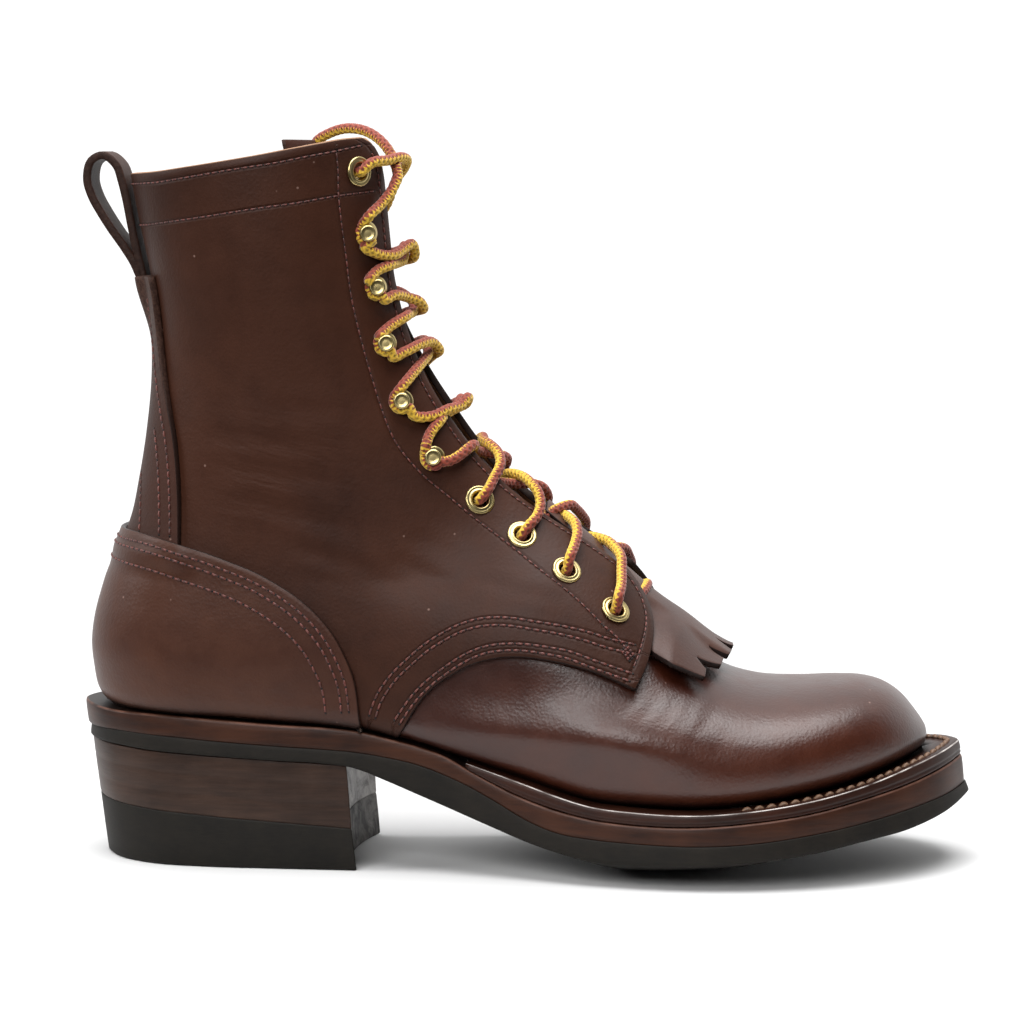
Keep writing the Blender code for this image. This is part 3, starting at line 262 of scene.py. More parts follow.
# Bark-tanned leather, skived and sanded: pale tan, matt, with faint clouds and short fibres.
bark_tanned, tree, shader, place = new_finish("bark_tanned_leather", 0.62)
clouds = node(tree, "TexNoise", {"Scale": 1.0 / (18 * MM), "Detail": 5.0}, {"Vector": place})
fibres = node(tree, "TexNoise", {"Scale": 1.0 / (0.9 * MM), "Detail": 3.0}, {"Vector": place})
tan = node(tree, "Mix", {"data_type": "RGBA", 6: linear("8a6446"), 7: linear("b08a64")}, {0: clouds})
nap = node(tree, "Bump", {"Strength": 0.5, "Distance": 0.12 * MM}, {"Height": fibres})
tree.links.new(tan, shader.inputs["Base Color"])
tree.links.new(nap, shader.inputs["Normal"])

insole_rings, _ = slab_rings(
    FOOT_OUTLINE, 90, ((0.0, INSOLE_INSET + 0.5), (0.2, INSOLE_INSET), (1.0, INSOLE_INSET)),
    lambda x, out: seat_z(x) + INSOLE_CLEAR + INSOLE_LEATHER, lambda x, out: seat_z(x) + INSOLE_CLEAR)
ring_piece("insole_board", insole_rings, bark_tanned, "insole_leather", ["insole"])


# Vamp: one hide lasted over the forefoot, its rear edge tucked under the wings of the quarters.
# It shines where it is pulled over the toe and wrinkles softly where the foot bends.
VAMP_WALL = 2.2
GAP = 0.3
INSTEP_LEVEL = 100.0
INNER_FLAP_BACK, DRAWN_HEIGHTS, DRAWN_LENGTHS = 5.0, (150.0, 205.0), (60.0, 102.0)
SPLIT_X, SPLIT_Z, SPLIT_SLOPE, SPLIT_BLEND = 92.0, 50.0, 0.95, 34.0
VAMP_FLEX = (197.0, 25.0, 55.0, 12.0)
# Painted shade where the upper meets the sole: its strongest share and the heights over the seat where it
# fades.
CREVICE_SHADE_SHARE, CREVICE_SHADE_HEIGHTS = 0.9, (0.8, 4.2)
TUCK_DEPTH, TUCK_HEIGHT = 5.6, 8.0
ARCH_CELLS, WING_CELLS, BASE_CELLS, TOE_CELLS, LAP_CELLS = 60, 22, 12, 92, 8
VAMP_LAP = 0.085

# Middle line of the foot: x, y.
FOOT_AXIS = np.array([(0.0, 0.0), (110.0, 0.0), (170.0, 0.8), (220.0, 3.2), (265.0, 5.8), (300.0, 7.5)])

# Middle line of the boot's front, from the collar down the instep to the toe: x, z.
FRONT_LINE = np.array([
    (108.2, 258.0), (108.7, 244.0), (109.6, 230.0), (110.9, 216.0), (112.6, 203.0), (116.0, 190.0),
    (120.6, 178.0), (126.6, 166.0), (134.4, 154.0), (144.0, 142.0), (155.0, 131.0), (168.0, 119.5),
    (180.0, 108.6), (190.0, 98.3), (199.0, 88.2), (208.0, 79.2), (217.0, 71.6), (226.0, 66.4), (236.0, 63.6),
    (251.0, 63.0), (264.0, 63.6), (273.0, 63.4), (280.0, 61.6), (286.0, 57.8), (291.0, 52.2), (295.0, 46.2),
    (297.0, 40.6),
])

# Heel and shaft by height: z, back x, half width, length of the rounded back, length of the rounded front.
SHAFT_LEVELS = np.array([
    (46.0, 10.2, 29.6, 36.0, 150.0), (57.0, 9.4, 31.0, 36.0, 150.0), (66.0, 8.0, 32.4, 37.0, 150.0),
    (74.0, 7.2, 33.2, 38.0, 145.0), (83.0, 8.2, 33.2, 38.0, 135.0), (92.0, 10.6, 32.6, 38.0, 120.0),
    (99.0, 13.0, 32.0, 38.0, 110.0), (107.0, 17.6, 31.6, 39.0, 101.0), (117.0, 21.6, 31.4, 40.0, 92.0),
    (132.0, 25.0, 31.6, 42.0, 76.0), (150.0, 28.0, 32.4, 44.0, 62.0), (168.0, 29.8, 33.4, 46.0, 54.0),
    (184.0, 29.8, 34.6, 46.0, 48.0), (204.0, 27.4, 36.4, 45.0, 45.0), (222.0, 23.8, 37.8, 45.0, 43.0),
    (240.0, 20.6, 38.8, 45.0, 43.0), (258.0, 18.6, 39.2, 45.0, 43.0),
])

# Lower edge of the quarter's wing from the welt to its tip, then its front edge up to the throat: x, z.
WING_ARCH = np.array([
    (114.0, 46.0), (117.6, 50.9), (120.3, 55.6), (123.5, 60.3), (128.2, 65.3), (134.0, 69.5), (139.7, 72.8),
    (146.5, 75.2), (153.1, 76.3), (159.9, 76.2), (166.7, 75.2), (175.5, 73.1), (186.0, 69.5), (195.8, 65.1),
])
WING_FRONT = np.array([
    (195.8, 65.1), (198.2, 70.4), (199.2, 76.0), (198.8, 81.4), (196.2, 87.0), (192.2, 92.8), (187.8, 98.2),
])

# Bending creases of the vamp seen from the side, the last one its swell under the wing:
# start x, start z, end x, end z, depth, half width.
VAMP_CREASES = np.array([
    (200.0, 66.0, 186.0, 52.0, 0.16, 1.7), (206.0, 65.0, 192.0, 48.0, 0.18, 1.9),
    (212.0, 64.5, 199.0, 47.0, 0.20, 1.9), (217.0, 63.0, 206.0, 46.0, 0.16, 2.0),
    (192.0, 63.0, 180.0, 53.0, 0.14, 1.7), (222.0, 60.0, 213.0, 47.0, 0.13, 2.2),
    (184.0, 64.0, 172.0, 56.0, 0.10, 1.8), (227.0, 65.0, 219.0, 52.0, 0.10, 2.2),
    (209.0, 56.0, 203.0, 45.0, 0.12, 1.4), (124.0, 51.0, 216.0, 48.0, -2.0, 7.5),
])

FOOT_OUTER, FOOT_INNER = outline_halves(FOOT_OUTLINE, 400)
FRONT_FINE = along(FRONT_LINE, np.linspace(0.0, 1.0, 500), 900)


def axis_y(x):
    """Middle line of the foot, which bends towards the inner side at the toe."""
    return column(FOOT_AXIS, 1, x)


def front_z(x):
    """Height of the boot's front line at a length along the foot."""
    return np.interp(x, FRONT_FINE[:, 0], FRONT_FINE[:, 1])


def front_x(z):
    """Length along the foot of the front line at a height, running far forward below the instep."""
    rising = FRONT_FINE[::-1]
    instep = np.interp(INSTEP_LEVEL, rising[:, 1], rising[:, 0])
    above = np.interp(np.maximum(z, INSTEP_LEVEL), rising[:, 1], rising[:, 0])
    return np.where(z < INSTEP_LEVEL, instep + 3.5 * (INSTEP_LEVEL - z), above)


def rounded_end(share, power):
    """Falls from 1 to 0 as a quarter of an oval while the share runs from 0 to 1."""
    return np.maximum(1.0 - np.clip(share, 0.0, 1.0) ** power, 0.0) ** (1.0 / power)


def foot_half_width(x, z, side):
    """Half width of the forefoot: full at a low girth line, rounded over to the front line."""
    outer, inner = (np.interp(x, half[:, 0], half[:, 1]) for half in (FOOT_OUTER, FOOT_INNER))
    widest = np.abs(np.where(np.asarray(side) < 0, outer, inner) - axis_y(x))
    low, high = seat_z(x), front_z(x)
    girth = low + 0.3 * (high - low)
    crown = 1.85 + 0.45 * smooth_step(150.0, 230.0, x) - 0.35 * np.exp(-((x - 192.0) / 30.0) ** 2)
    over = rounded_end((z - girth) / np.maximum(high - girth, 0.4), crown)
    under = np.clip((girth - z) / np.maximum(girth - low, 0.4), 0.0, 1.0)
    return widest * over * (1.0 - 0.055 * under ** 2)


def shaft_half_width(x, z):
    """Half width of the heel and shaft: an oval at each height, rounded at the back and the front."""
    back, half = column(SHAFT_LEVELS, 1, z), column(SHAFT_LEVELS, 2, z)
    back_round, front_round = column(SHAFT_LEVELS, 3, z), column(SHAFT_LEVELS, 4, z)
    behind = rounded_end(1.0 - (x - back) / back_round, 2.2)
    before = rounded_end(1.0 - (front_x(z) - x) / front_round, 2.0)
    return half * behind * before


def half_width(x, z, side):
    """Half width of the boot without laps: the shaft's oval blended into the forefoot along the instep."""
    share = smooth_step(-SPLIT_BLEND, SPLIT_BLEND, SPLIT_X + SPLIT_SLOPE * (z - SPLIT_Z) - x)
    return share * shaft_half_width(x, z) + (1.0 - share) * foot_half_width(x, z, side)


def surface(x, z, side):
    """Points of the outer skin without laps at side-view places."""
    y = axis_y(x) + side * half_width(x, z, side)
    drawn = INNER_FLAP_BACK * smooth_step(*DRAWN_HEIGHTS, z) * smooth_step(*DRAWN_LENGTHS, x)
    drawn = drawn * (np.asarray(side) > 0)
    return np.stack([x - drawn, y, z + 0.0 * y], axis=-1)


def height_share(x, z):
    """Share of the way up the side of the forefoot, slowing towards the front line."""
    return 1.0 - np.sqrt(np.clip(1.0 - (z - seat_z(x)) / (front_z(x) - seat_z(x)), 0.0, 1.0))


def grid_normals(grid):
    """Outward unit normals of a grid of points that wraps the boot from its outer side to its inner side."""
    normal = np.cross(np.gradient(grid, axis=1), np.gradient(grid, axis=0))
    normal /= np.maximum(np.linalg.norm(normal, axis=2), 1e-9)[..., None]
    return normal * np.sign(np.sum(normal[..., 1] * (grid[..., 1] - axis_y(grid[..., 0]))))


def creased(points, creases):
    """Depth of listed creases at side-view points: a soft trough along each line, fading at its ends."""
    depth = np.zeros(points.shape[:-1])
    for x0, z0, x1, z1, deep, wide in creases:
        start, run = np.array((x0, z0)), np.array((x1 - x0, z1 - z0))
        share = ((points - start) @ run) / (run @ run)
        off = np.linalg.norm(points - start - np.clip(share, 0.0, 1.0)[..., None] * run, axis=-1)
        fade = smooth_step(-0.15, 0.3, share) * smooth_step(-0.15, 0.3, 1.0 - share)
        ridge = 0.45 * np.exp(-((off - 2.1 * wide) / wide) ** 2)
        depth += deep * fade * (np.exp(-(off / wide) ** 2) - ridge)
    return depth


def grid_quads(rows, cols):
    """Quads of a grid of points."""
    return quads_between(np.arange(rows * cols).reshape(rows, cols)).reshape(-1, 4)


ROUND_RIM = ((0.08, 0.22), (0.3, 0.38), (0.7, 0.38), (0.92, 0.22))


def leather_sheet(outer, inner, quads, rim=ROUND_RIM):
    """Closed sheet of leather: outer skin, inner skin, and a rounded rim along every free edge.

    Each step of the rim is a share of the thickness and a bulge away from the sheet in millimetres.
    """
    outer, inner = outer.reshape(-1, 3), inner.reshape(-1, 3)
    used, quads = np.unique(quads, return_inverse=True)
    quads = quads.reshape(-1, 4)
    outer, inner = outer[used], inner[used]
    count = len(outer)
    facing = np.cross(outer[quads[:, 2]] - outer[quads[:, 0]], outer[quads[:, 3]] - outer[quads[:, 1]])
    if np.sum(facing * (outer - inner)[quads[:, 0]]) < 0.0:
        quads, facing = quads[:, ::-1], -facing
    edges = np.concatenate([quads[:, [k, (k + 1) % 4]] for k in range(4)])
    owner = np.tile(np.arange(len(quads)), 4)
    _, inverse, uses = np.unique(np.sort(edges, axis=1), axis=0, return_inverse=True, return_counts=True)
    free = uses[inverse.ravel()] == 1
    edges, owner = edges[free], owner[free]
    away = np.cross(outer[edges[:, 1]] - outer[edges[:, 0]], facing[owner])
    away /= np.maximum(np.linalg.norm(away, axis=1), 1e-9)[:, None]
    spread = np.zeros((count, 3))
    np.add.at(spread, edges[:, 0], away)
    np.add.at(spread, edges[:, 1], away)
    border = np.unique(edges)
    spread = spread[border] / np.maximum(np.linalg.norm(spread[border], axis=1), 1e-9)[:, None]
    place = np.zeros(count, int)
    place[border] = np.arange(len(border))
    vertices, levels = [outer, inner], [edges]
    for k, (share, bulge) in enumerate(rim):
        vertices.append(outer[border] * (1.0 - share) + inner[border] * share + spread * bulge)
        levels.append(2 * count + k * len(border) + place[edges])
    levels.append(edges + count)
    faces = [quads, quads[:, ::-1] + count]
    for high, low in zip(levels, levels[1:]):
        faces.append(np.stack([high[:, 1], high[:, 0], low[:, 0], low[:, 1]], axis=1))
    vertices, faces = np.vstack(vertices), np.vstack(faces)
    edge = (np.arange(len(vertices)) >= 2 * count).astype(float)
    which = np.zeros(len(faces), int)
    which[len(quads):2 * len(quads)] = 1
    return vertices, faces, edge, which, used


def oiled_hide(name, deep, lit, raw_edge, roughness, coat, seams=(), folds=None, collar=None, gloss=0.5):
    """Oiled, pulled-up cowhide: deep colour, soft clouds, fine pores, tiny pale specks, a bare cut edge and
    painted shade at the sole.

    Each seam is an attribute of signed distance in millimetres with the offsets of its sunk stitch rows.
    Folds are the slant, length, width and depth of fine wrinkles where the attribute flex is set. Collar is a
    paler cut edge.
    """
    material, tree, shader, place = new_finish(name, roughness, Coat_Weight=coat, Coat_Roughness=0.3,
                                               Specular_IOR_Level=gloss)
    clouds = node(tree, "TexNoise", {"Scale": 1.0 / (55 * MM), "Detail": 3.0}, {"Vector": place})
    mottle = node(tree, "TexNoise", {"Scale": 1.0 / (7 * MM), "Detail": 4.0, "Roughness": 0.6},
                  {"Vector": place})
    both = node(tree, "Math", {"operation": "MULTIPLY_ADD", 1: 0.35}, {0: mottle, 2: clouds})
    spread = node(tree, "MapRange", {"From Min": 0.52, "From Max": 0.86}, {"Value": both})
    colour = node(tree, "Mix", {"data_type": "RGBA", 6: linear(deep), 7: linear(lit)}, {0: spread})
    grit = node(tree, "TexVoronoi", {"Scale": 1.0 / (13 * MM), "Randomness": 1.0}, {"Vector": place})
    speck = node(tree, "MapRange", {"From Min": 0.04, "From Max": 0.02, "To Max": 0.4}, {"Value": grit})
    dusted = node(tree, "Mix", {"data_type": "RGBA", 7: linear("a8887c")}, {0: speck, 6: colour})
    rim = node(tree, "Attribute", {"attribute_name": "edge"})
    fray = node(tree, "TexNoise", {"Scale": 1.0 / (1.6 * MM), "Detail": 3.0}, {"Vector": place})
    thin = node(tree, "Math", {"operation": "MULTIPLY", 1: 0.4}, {0: fray})
    bare = node(tree, "Mix", {"data_type": "RGBA", 6: linear(raw_edge), 7: linear(deep)}, {0: thin})
    if collar:
        high = node(tree, "Attribute", {"attribute_name": "collar_rim"})
        bare = node(tree, "Mix", {"data_type": "RGBA", 7: linear(collar)}, {0: high, 6: bare})
    edged = node(tree, "Mix", {"data_type": "RGBA"}, {0: rim, 6: dusted, 7: bare})
    # Painted shade: the upper darkened to near black just above the sole.
    low = node(tree, "Attribute", {"attribute_name": "painted_crevice_shade"})
    edged = node(tree, "Mix", {"data_type": "RGBA", 7: linear("0b0605")}, {0: low, 6: edged})
    pores = node(tree, "TexVoronoi", {"Scale": 1.0 / (1.05 * MM), "feature": "SMOOTH_F1", "Smoothness": 0.4},
                 {"Vector": place})
    fine = node(tree, "TexNoise", {"Scale": 1.0 / (2.6 * MM), "Detail": 5.0, "Roughness": 0.62},
                {"Vector": place})
    grain = node(tree, "Math", {"operation": "MULTIPLY_ADD", 1: 0.55}, {0: pores, 2: fine})
    bump = node(tree, "Bump", {"Strength": 0.4, "Distance": 0.25 * MM}, {"Height": grain})
    if folds:
        slant, length, width, depth = folds
        turned = node(tree, "Mapping", {"vector_type": "TEXTURE", "Rotation": (0.0, math.radians(slant), 0.0),
                                        "Scale": (width * MM, width * MM, length * MM)}, {"Vector": place})
        streak = node(tree, "TexNoise", {"Scale": 1.0, "Detail": 2.0, "Distortion": 0.3}, {"Vector": turned})
        flex = node(tree, "Attribute", {"attribute_name": "flex"})
        deep_fold = node(tree, "Math", {"operation": "MULTIPLY"}, {0: streak, 1: flex})
        bump = node(tree, "Bump", {"Strength": 0.9, "Distance": depth * MM},
                    {"Height": deep_fold, "Normal": bump})
    for label, offsets in seams:
        off = node(tree, "Attribute", {"attribute_name": label})
        for offset in offsets:
            away = node(tree, "Math", {"operation": "SUBTRACT", 1: offset}, {0: off})
            near = node(tree, "Math", {"operation": "ABSOLUTE"}, {0: away})
            sunk = node(tree, "MapRange", {"interpolation_type": "SMOOTHSTEP", "From Max": 1.1},
                        {"Value": near})
            bump = node(tree, "Bump", {"Strength": 0.8, "Distance": 0.4 * MM},
                        {"Height": sunk, "Normal": bump})
    rough = node(tree, "MapRange", {"To Min": roughness - 0.06, "To Max": roughness + 0.1}, {"Value": mottle})
    tree.links.new(edged, shader.inputs["Base Color"])
    tree.links.new(rough, shader.inputs["Roughness"])
    tree.links.new(bump, shader.inputs["Normal"])
    return material


# Oiled cowhide: dark brown and glossy over the toe, with the faint slanting wrinkles of its bend.
vamp_hide = oiled_hide("oiled_cowhide_vamp", "321207", "421c0c", "1c0f0b", 0.34, 0.1,
                       folds=(37.0, 18.0, 2.6, 0.11), gloss=0.52)
# Natural lining leather: pale tan, dull, left without dressing.
lining_leather = oiled_hide("natural_lining_leather", "7a563c", "94704f", "8a6648", 0.62, 0.0)

arch = along(WING_ARCH, np.linspace(0.0, 1.0, ARCH_CELLS + 1))
wing = along(WING_FRONT, np.linspace(0.0, 1.0, WING_CELLS + 1))
arch[0] = arch[0, 0], seat_z(arch[0, 0])
base_share = np.linspace(height_share(*WING_FRONT[-1]), 1.0, BASE_CELLS + 1)[1:]
base_x = np.linspace(WING_FRONT[-1, 0], WING_FRONT[-1, 0] - 0.8, BASE_CELLS + 1)[1:]
base_z = seat_z(base_x) + (front_z(base_x) - seat_z(base_x)) * (1.0 - (1.0 - base_share) ** 2)
vamp_edge = np.vstack([arch, wing[1:], np.column_stack([base_x, base_z])])


def vamp_skin(edge):
    """Vamp from its lap under the quarters to the toe: lines of even height share, mirrored at the front."""
    share = height_share(edge[:, 0], edge[:, 1])[:, None]
    reach = np.concatenate([np.linspace(-VAMP_LAP, 0.0, LAP_CELLS + 1)[:-1],
                            np.sin(np.linspace(0.0, 0.5 * math.pi, TOE_CELLS + 1))])[None]
    even = 0.25 * np.linspace(0.0, 1.0, len(edge))[:, None] + 0.75 * share
    share = share + (even - share) * smooth_step(0.0, 0.6, reach)
    x = edge[:, :1] + (FRONT_LINE[-1, 0] - edge[:, :1]) * reach
    z = seat_z(x) + (front_z(x) - seat_z(x)) * (1.0 - (1.0 - share) ** 2)
    outer, inner = surface(x, z, LATERAL), surface(x, z, MEDIAL)
    outer[-1, :, 1] = axis_y(x[-1])
    grid = np.concatenate([outer, inner[-2::-1]], axis=0)
    grid[:, -1] = FRONT_LINE[-1, 0], axis_y(FRONT_LINE[-1, 0]), FRONT_LINE[-1, 1]
    return grid


def seated(points, edges):
    """Lower edges of the upper set just clear of the sole."""
    for edge in edges:
        points[edge][..., 2] = seat_z(points[edge][..., 0]) + GAP
    return points


def tucked(points, normals):
    """Lower margin of the upper drawn in over the sole's edge as a quarter round, square to the side."""
    low = np.clip(1.0 - (points[..., 2] - seat_z(points[..., 0])) / TUCK_HEIGHT, 0.0, 0.99)
    level = normals * (1.0, 1.0, 0.0)
    level = level / np.maximum(np.linalg.norm(level, axis=-1), 1e-9)[..., None]
    return points - level * (TUCK_DEPTH * (1.0 - np.sqrt(1.0 - low ** 2)))[..., None]


def painted_crevice_shade(vertices):
    """Share of painted shade darkening the upper where it meets the sole, fading out a few millimetres up."""
    return CREVICE_SHADE_SHARE * (1.0 - smooth_step(*CREVICE_SHADE_HEIGHTS, vertices[:, 2] - seat_z(vertices[:, 0])))


def soft_spot(vertices, x, long, z, tall):
    """Share that falls away as a bell from a place seen from the side, by a length and a height."""
    return np.exp(-((vertices[:, 0] - x) / long) ** 2 - ((vertices[:, 2] - z) / tall) ** 2)


vamp = vamp_skin(vamp_edge)
vamp_normal = grid_normals(vamp)
vamp_normal[:, -1] = 1.0, 0.0, 0.0
vamp_normal[:, -2] = vamp_normal[:, -3]
vamp_sunk = vamp - vamp_normal * creased(vamp[..., [0, 2]], VAMP_CREASES)[..., None]
low_edges = (np.s_[0, :], np.s_[-1, :])
vamp_outer = seated(tucked(vamp_sunk, vamp_normal), low_edges)
vamp_inner = seated(tucked(vamp_sunk - vamp_normal * VAMP_WALL, vamp_normal), low_edges)
vertices, faces, edge, which, _ = leather_sheet(vamp_outer, vamp_inner, grid_quads(*vamp.shape[:2]))
values = {"edge": edge, "flex": soft_spot(vertices, *VAMP_FLEX), "painted_crevice_shade": painted_crevice_shade(vertices)}
boot_piece("vamp", vertices, faces, [vamp_hide, lining_leather], ["upper"], values, which,
           True)


# Quarters: the shaft and its wings in one wrap of hide, lapped over the vamp, open down the throat.
# Punched for ten eyelets, faced along the throat and collar, cut edges left bare.
QUARTER_LIFT = 2.0
THROAT_LIFT, THROAT_LIFT_REACH = 4.6, 20.0
QUARTER_HIDE, SHAFT_LINING = 2.3, 0.6
HEEL_CELLS, FLAP_CELLS = 78, 96
EYELET_HOLE = 3.3
SHAFT_FLEX = (72.0, 26.0, 138.0, 22.0)
COLLAR_HEIGHTS = (233.0, 238.0)
NO_SEAM = 30.0
HALVINGS = 36
LINING_FROM, LINING_BLEND = 60.0, 30.0

# Half the gap between the flaps: z, y.
THROAT_GAP = np.array([
    (96.0, 13.0), (115.0, 13.0), (140.0, 13.0), (180.0, 12.8), (200.0, 12.2), (228.0, 12.4), (238.0, 13.2),
    (244.0, 15.2), (247.5, 18.2), (249.7, 22.0),
])

# Top edge of the shaft from back to front: x, z.
COLLAR = np.array([
    (20.8, 237.6), (32.7, 238.3), (44.7, 239.9), (57.3, 241.8), (68.1, 243.6), (78.3, 245.6), (88.2, 247.6),
    (95.6, 249.1), (101.2, 249.7),
])

# Heights up the back line that lie level with the wing's front edge and then with the flap's edge.
BACK_LEVELS = np.array([54.0, 60.0, 67.0, 75.0, 84.0, 92.0, 98.0, 104.0, 111.0, 120.0, 134.0, 150.0, 167.0,
                        185.0, 203.0, 221.0, 237.6])
WING_LEVELS = 4

# Eyelets and hooks on each flap from the toe up: x, z.
LACING_ROWS = np.array([
    (186.2, 87.4), (170.4, 101.2), (155.8, 113.8), (141.2, 126.2), (125.6, 141.2), (114.8, 160.4),
    (109.0, 180.0), (105.6, 199.0), (102.6, 217.6), (99.8, 238.4),
])
TOP_ROW = 9
EYELET_ROWS = (0, 1, 2, 3, TOP_ROW)

# Stitch lines of the quarter seen from the side: x, z.
EYESTAY_SEAM = np.array([
    (93.4, 245.0), (93.9, 238.4), (94.0, 231.2), (94.9, 221.8), (96.1, 211.6), (97.9, 196.8),
    (100.8, 183.5), (104.1, 171.7), (108.3, 158.4), (112.8, 147.6), (121.4, 136.5), (130.8, 128.2),
    (139.8, 120.6), (153.6, 109.9), (163.5, 101.7), (172.3, 94.2), (179.2, 87.6), (182.8, 84.1),
])
WING_SEAM_HIGH = np.array([
    (106.8, 54.0), (108.9, 59.8), (112.0, 64.9), (115.6, 69.3), (120.0, 73.4), (124.9, 77.7), (130.9, 81.6),
    (136.9, 84.7), (142.8, 86.6), (148.4, 87.3), (154.5, 87.1), (162.0, 85.8), (169.7, 84.0), (177.2, 81.7),
    (186.0, 78.3), (193.6, 76.0),
])
WING_SEAM_LOW = np.array([
    (115.6, 52.6), (118.3, 56.6), (121.8, 61.4), (126.4, 66.1), (131.1, 69.9), (136.5, 73.7), (141.7, 76.6),
    (147.0, 78.5), (152.6, 79.3), (158.6, 79.2), (166.0, 78.0), (173.0, 76.4), (181.0, 73.2), (188.5, 70.4),
    (194.2, 68.3),
])
COLLAR_SEAM = np.array([
    (20.9, 234.4), (26.4, 234.6), (34.3, 235.1), (44.7, 236.6), (55.1, 238.3), (65.2, 239.9), (74.9, 241.4),
    (84.3, 243.4), (93.4, 245.3), (100.6, 247.1),
])
BAND_SEAM = np.array([
    (24.0, 220.3), (29.3, 220.7), (39.5, 222.0), (50.4, 223.5), (60.7, 225.1), (71.3, 226.7), (81.5, 228.1),
    (88.1, 229.3), (93.9, 230.3), (99.5, 231.1), (104.2, 231.7),
])
PAIR_HIGH, PAIR_LOW = 1.2, 1.05
FLAP_ROW = 3.7

# Soft wrinkles of the shaft over the ankle and of the wing: as the vamp's creases.
SHAFT_CREASES = np.array([
    (46.0, 150.0, 84.0, 146.0, 0.22, 2.6), (52.0, 140.0, 96.0, 134.0, 0.20, 2.8),
    (60.0, 128.0, 100.0, 118.0, 0.24, 2.6), (78.0, 112.0, 108.0, 103.0, 0.22, 2.4),
    (70.0, 160.0, 98.0, 157.0, 0.14, 2.6), (112.0, 108.0, 136.0, 97.0, 0.2, 2.2),
    (118.0, 116.0, 146.0, 104.0, 0.16, 2.4), (140.0, 100.0, 170.0, 93.0, 0.2, 2.0),
])


def flap_lift(x, z):
    """Height of the quarter's outer skin over the vamp: its leather, and the throat raised by the tongue."""
    near = np.exp(-((x - 190.0) ** 2 + (z - 97.0) ** 2) / (2.0 * THROAT_LIFT_REACH ** 2))
    return QUARTER_LIFT + THROAT_LIFT * near


def skin_x(y, z, side):
    """Length along the foot where the front of the skin is as wide as y at a height, by halving."""
    rising = FRONT_FINE[::-1]
    high = np.interp(z, rising[:, 1], rising[:, 0]) + 0.0 * y
    low = high - 60.0
    for _ in range(HALVINGS):
        mid = (low + high) / 2.0
        wide = half_width(mid, z, side) > np.abs(y)
        low, high = np.where(wide, mid, low), np.where(wide, high, mid)
    return high


def skin_normal(x, z, side):
    """Outward unit normal of the skin without laps, from its slopes along x and z."""
    e = 0.2
    x = np.maximum(x, column(SHAFT_LEVELS, 1, z) + 0.75 * e)
    across = surface(x + e, z, side) - surface(x - e, z, side)
    upward = surface(x, z + e, side) - surface(x, z - e, side)
    normal = np.cross(across, upward)
    normal *= np.sign(normal[..., 1:2] * side)
    return normal / np.linalg.norm(normal, axis=-1, keepdims=True)


def on_quarter(x, z, side, height):
    """Points at a height over the quarter's outer skin, with the outward normals there."""
    x, z = np.asarray(x, float), np.asarray(z, float)
    normal = skin_normal(x, z, side)
    return tucked(surface(x, z, side) + normal * (flap_lift(x, z) + height)[..., None], normal), normal


def spanned_patch(low, high, left, right):
    """Coons patch between four edges in the side view; low and high run along the columns."""
    rows, cols = len(left), len(low)
    s = (chord_lengths(low) / chord_lengths(low)[-1])[None, :, None] * np.ones((rows, 1, 1))
    t = (chord_lengths(left) / chord_lengths(left)[-1])[:, None, None] * np.ones((1, cols, 1))
    ruled = (1 - t) * low[None] + t * high[None] + (1 - s) * left[:, None] + s * right[:, None]
    corners = (1 - t) * ((1 - s) * low[0] + s * low[-1]) + t * ((1 - s) * high[0] + s * high[-1])
    return ruled - corners


def both_sides(side_view):
    """Grid round the back of the boot from its side view; the back line is shared by the two sides."""
    x, z = side_view[..., 0], side_view[..., 1]
    outer, inner = surface(x, z, LATERAL), surface(x, z, MEDIAL)
    outer[:, 0, 1] = axis_y(x[:, 0])
    return np.concatenate([outer[:, ::-1], inner[:, 1:]], axis=1)


def signed_distance(points, line):
    """Distance of side-view points from a line, positive on its left, as whole arrays."""
    line = along(line, np.linspace(0.0, 1.0, 160))
    start, step = line[:-1], np.diff(line, axis=0)
    rel = points[:, None] - start[None]
    share = np.clip(np.sum(rel * step, axis=2) / np.sum(step * step, axis=1), 0.0, 1.0)
    off = rel - share[..., None] * step
    far = np.linalg.norm(off, axis=2)
    k = np.argmin(far, axis=1)
    row = np.arange(len(points))
    turn = step[k, 0] * off[row, k, 1] - step[k, 1] * off[row, k, 0]
    return far[row, k] * np.sign(turn)


throat_z = np.linspace(WING_FRONT[-1, 1], COLLAR[-1, 1], FLAP_CELLS + 1)
flap_edge = np.column_stack([skin_x(column(THROAT_GAP, 1, throat_z), throat_z, LATERAL), throat_z])
flap_edge[0] = WING_FRONT[-1]
levels = np.concatenate([np.linspace(0.0, WING_LEVELS, WING_CELLS + 1),
                         np.linspace(WING_LEVELS, len(BACK_LEVELS) - 1.0, FLAP_CELLS + 1)[1:]])
back_z = smooth_through(levels, np.arange(len(BACK_LEVELS), dtype=float), BACK_LEVELS)
back_line = np.column_stack([column(SHAFT_LEVELS, 1, back_z), back_z])
turn = np.linspace(0.0, 1.0, HEEL_CELLS + 1)
heel_share = 0.65 * (1.0 - np.cos(0.5 * math.pi * turn)) + 0.35 * turn ** 1.6
heel_x = back_line[0, 0] + (arch[0, 0] - back_line[0, 0]) * heel_share
heel_feather = np.column_stack([heel_x, seat_z(heel_x)])
back_line[0] = heel_feather[0]
quarter_low = np.vstack([heel_feather, arch[1:]])
quarter_right = np.vstack([wing[:-1], flap_edge])
collar_shares = (heel_x - heel_x[0]) / (heel_x[-1] - heel_x[0]) * 0.55
collar_shares = np.concatenate([collar_shares, np.linspace(0.55, 1.0, ARCH_CELLS + 1)[1:]])
collar_line = along(np.vstack([COLLAR[:-1], flap_edge[-1]]), collar_shares)
collar_line[0] = back_line[-1]
quarter_side = spanned_patch(quarter_low, collar_line, back_line, quarter_right)
quarter = both_sides(quarter_side)
quarter_normal = grid_normals(quarter)
lift = flap_lift(quarter[..., 0], quarter[..., 2])
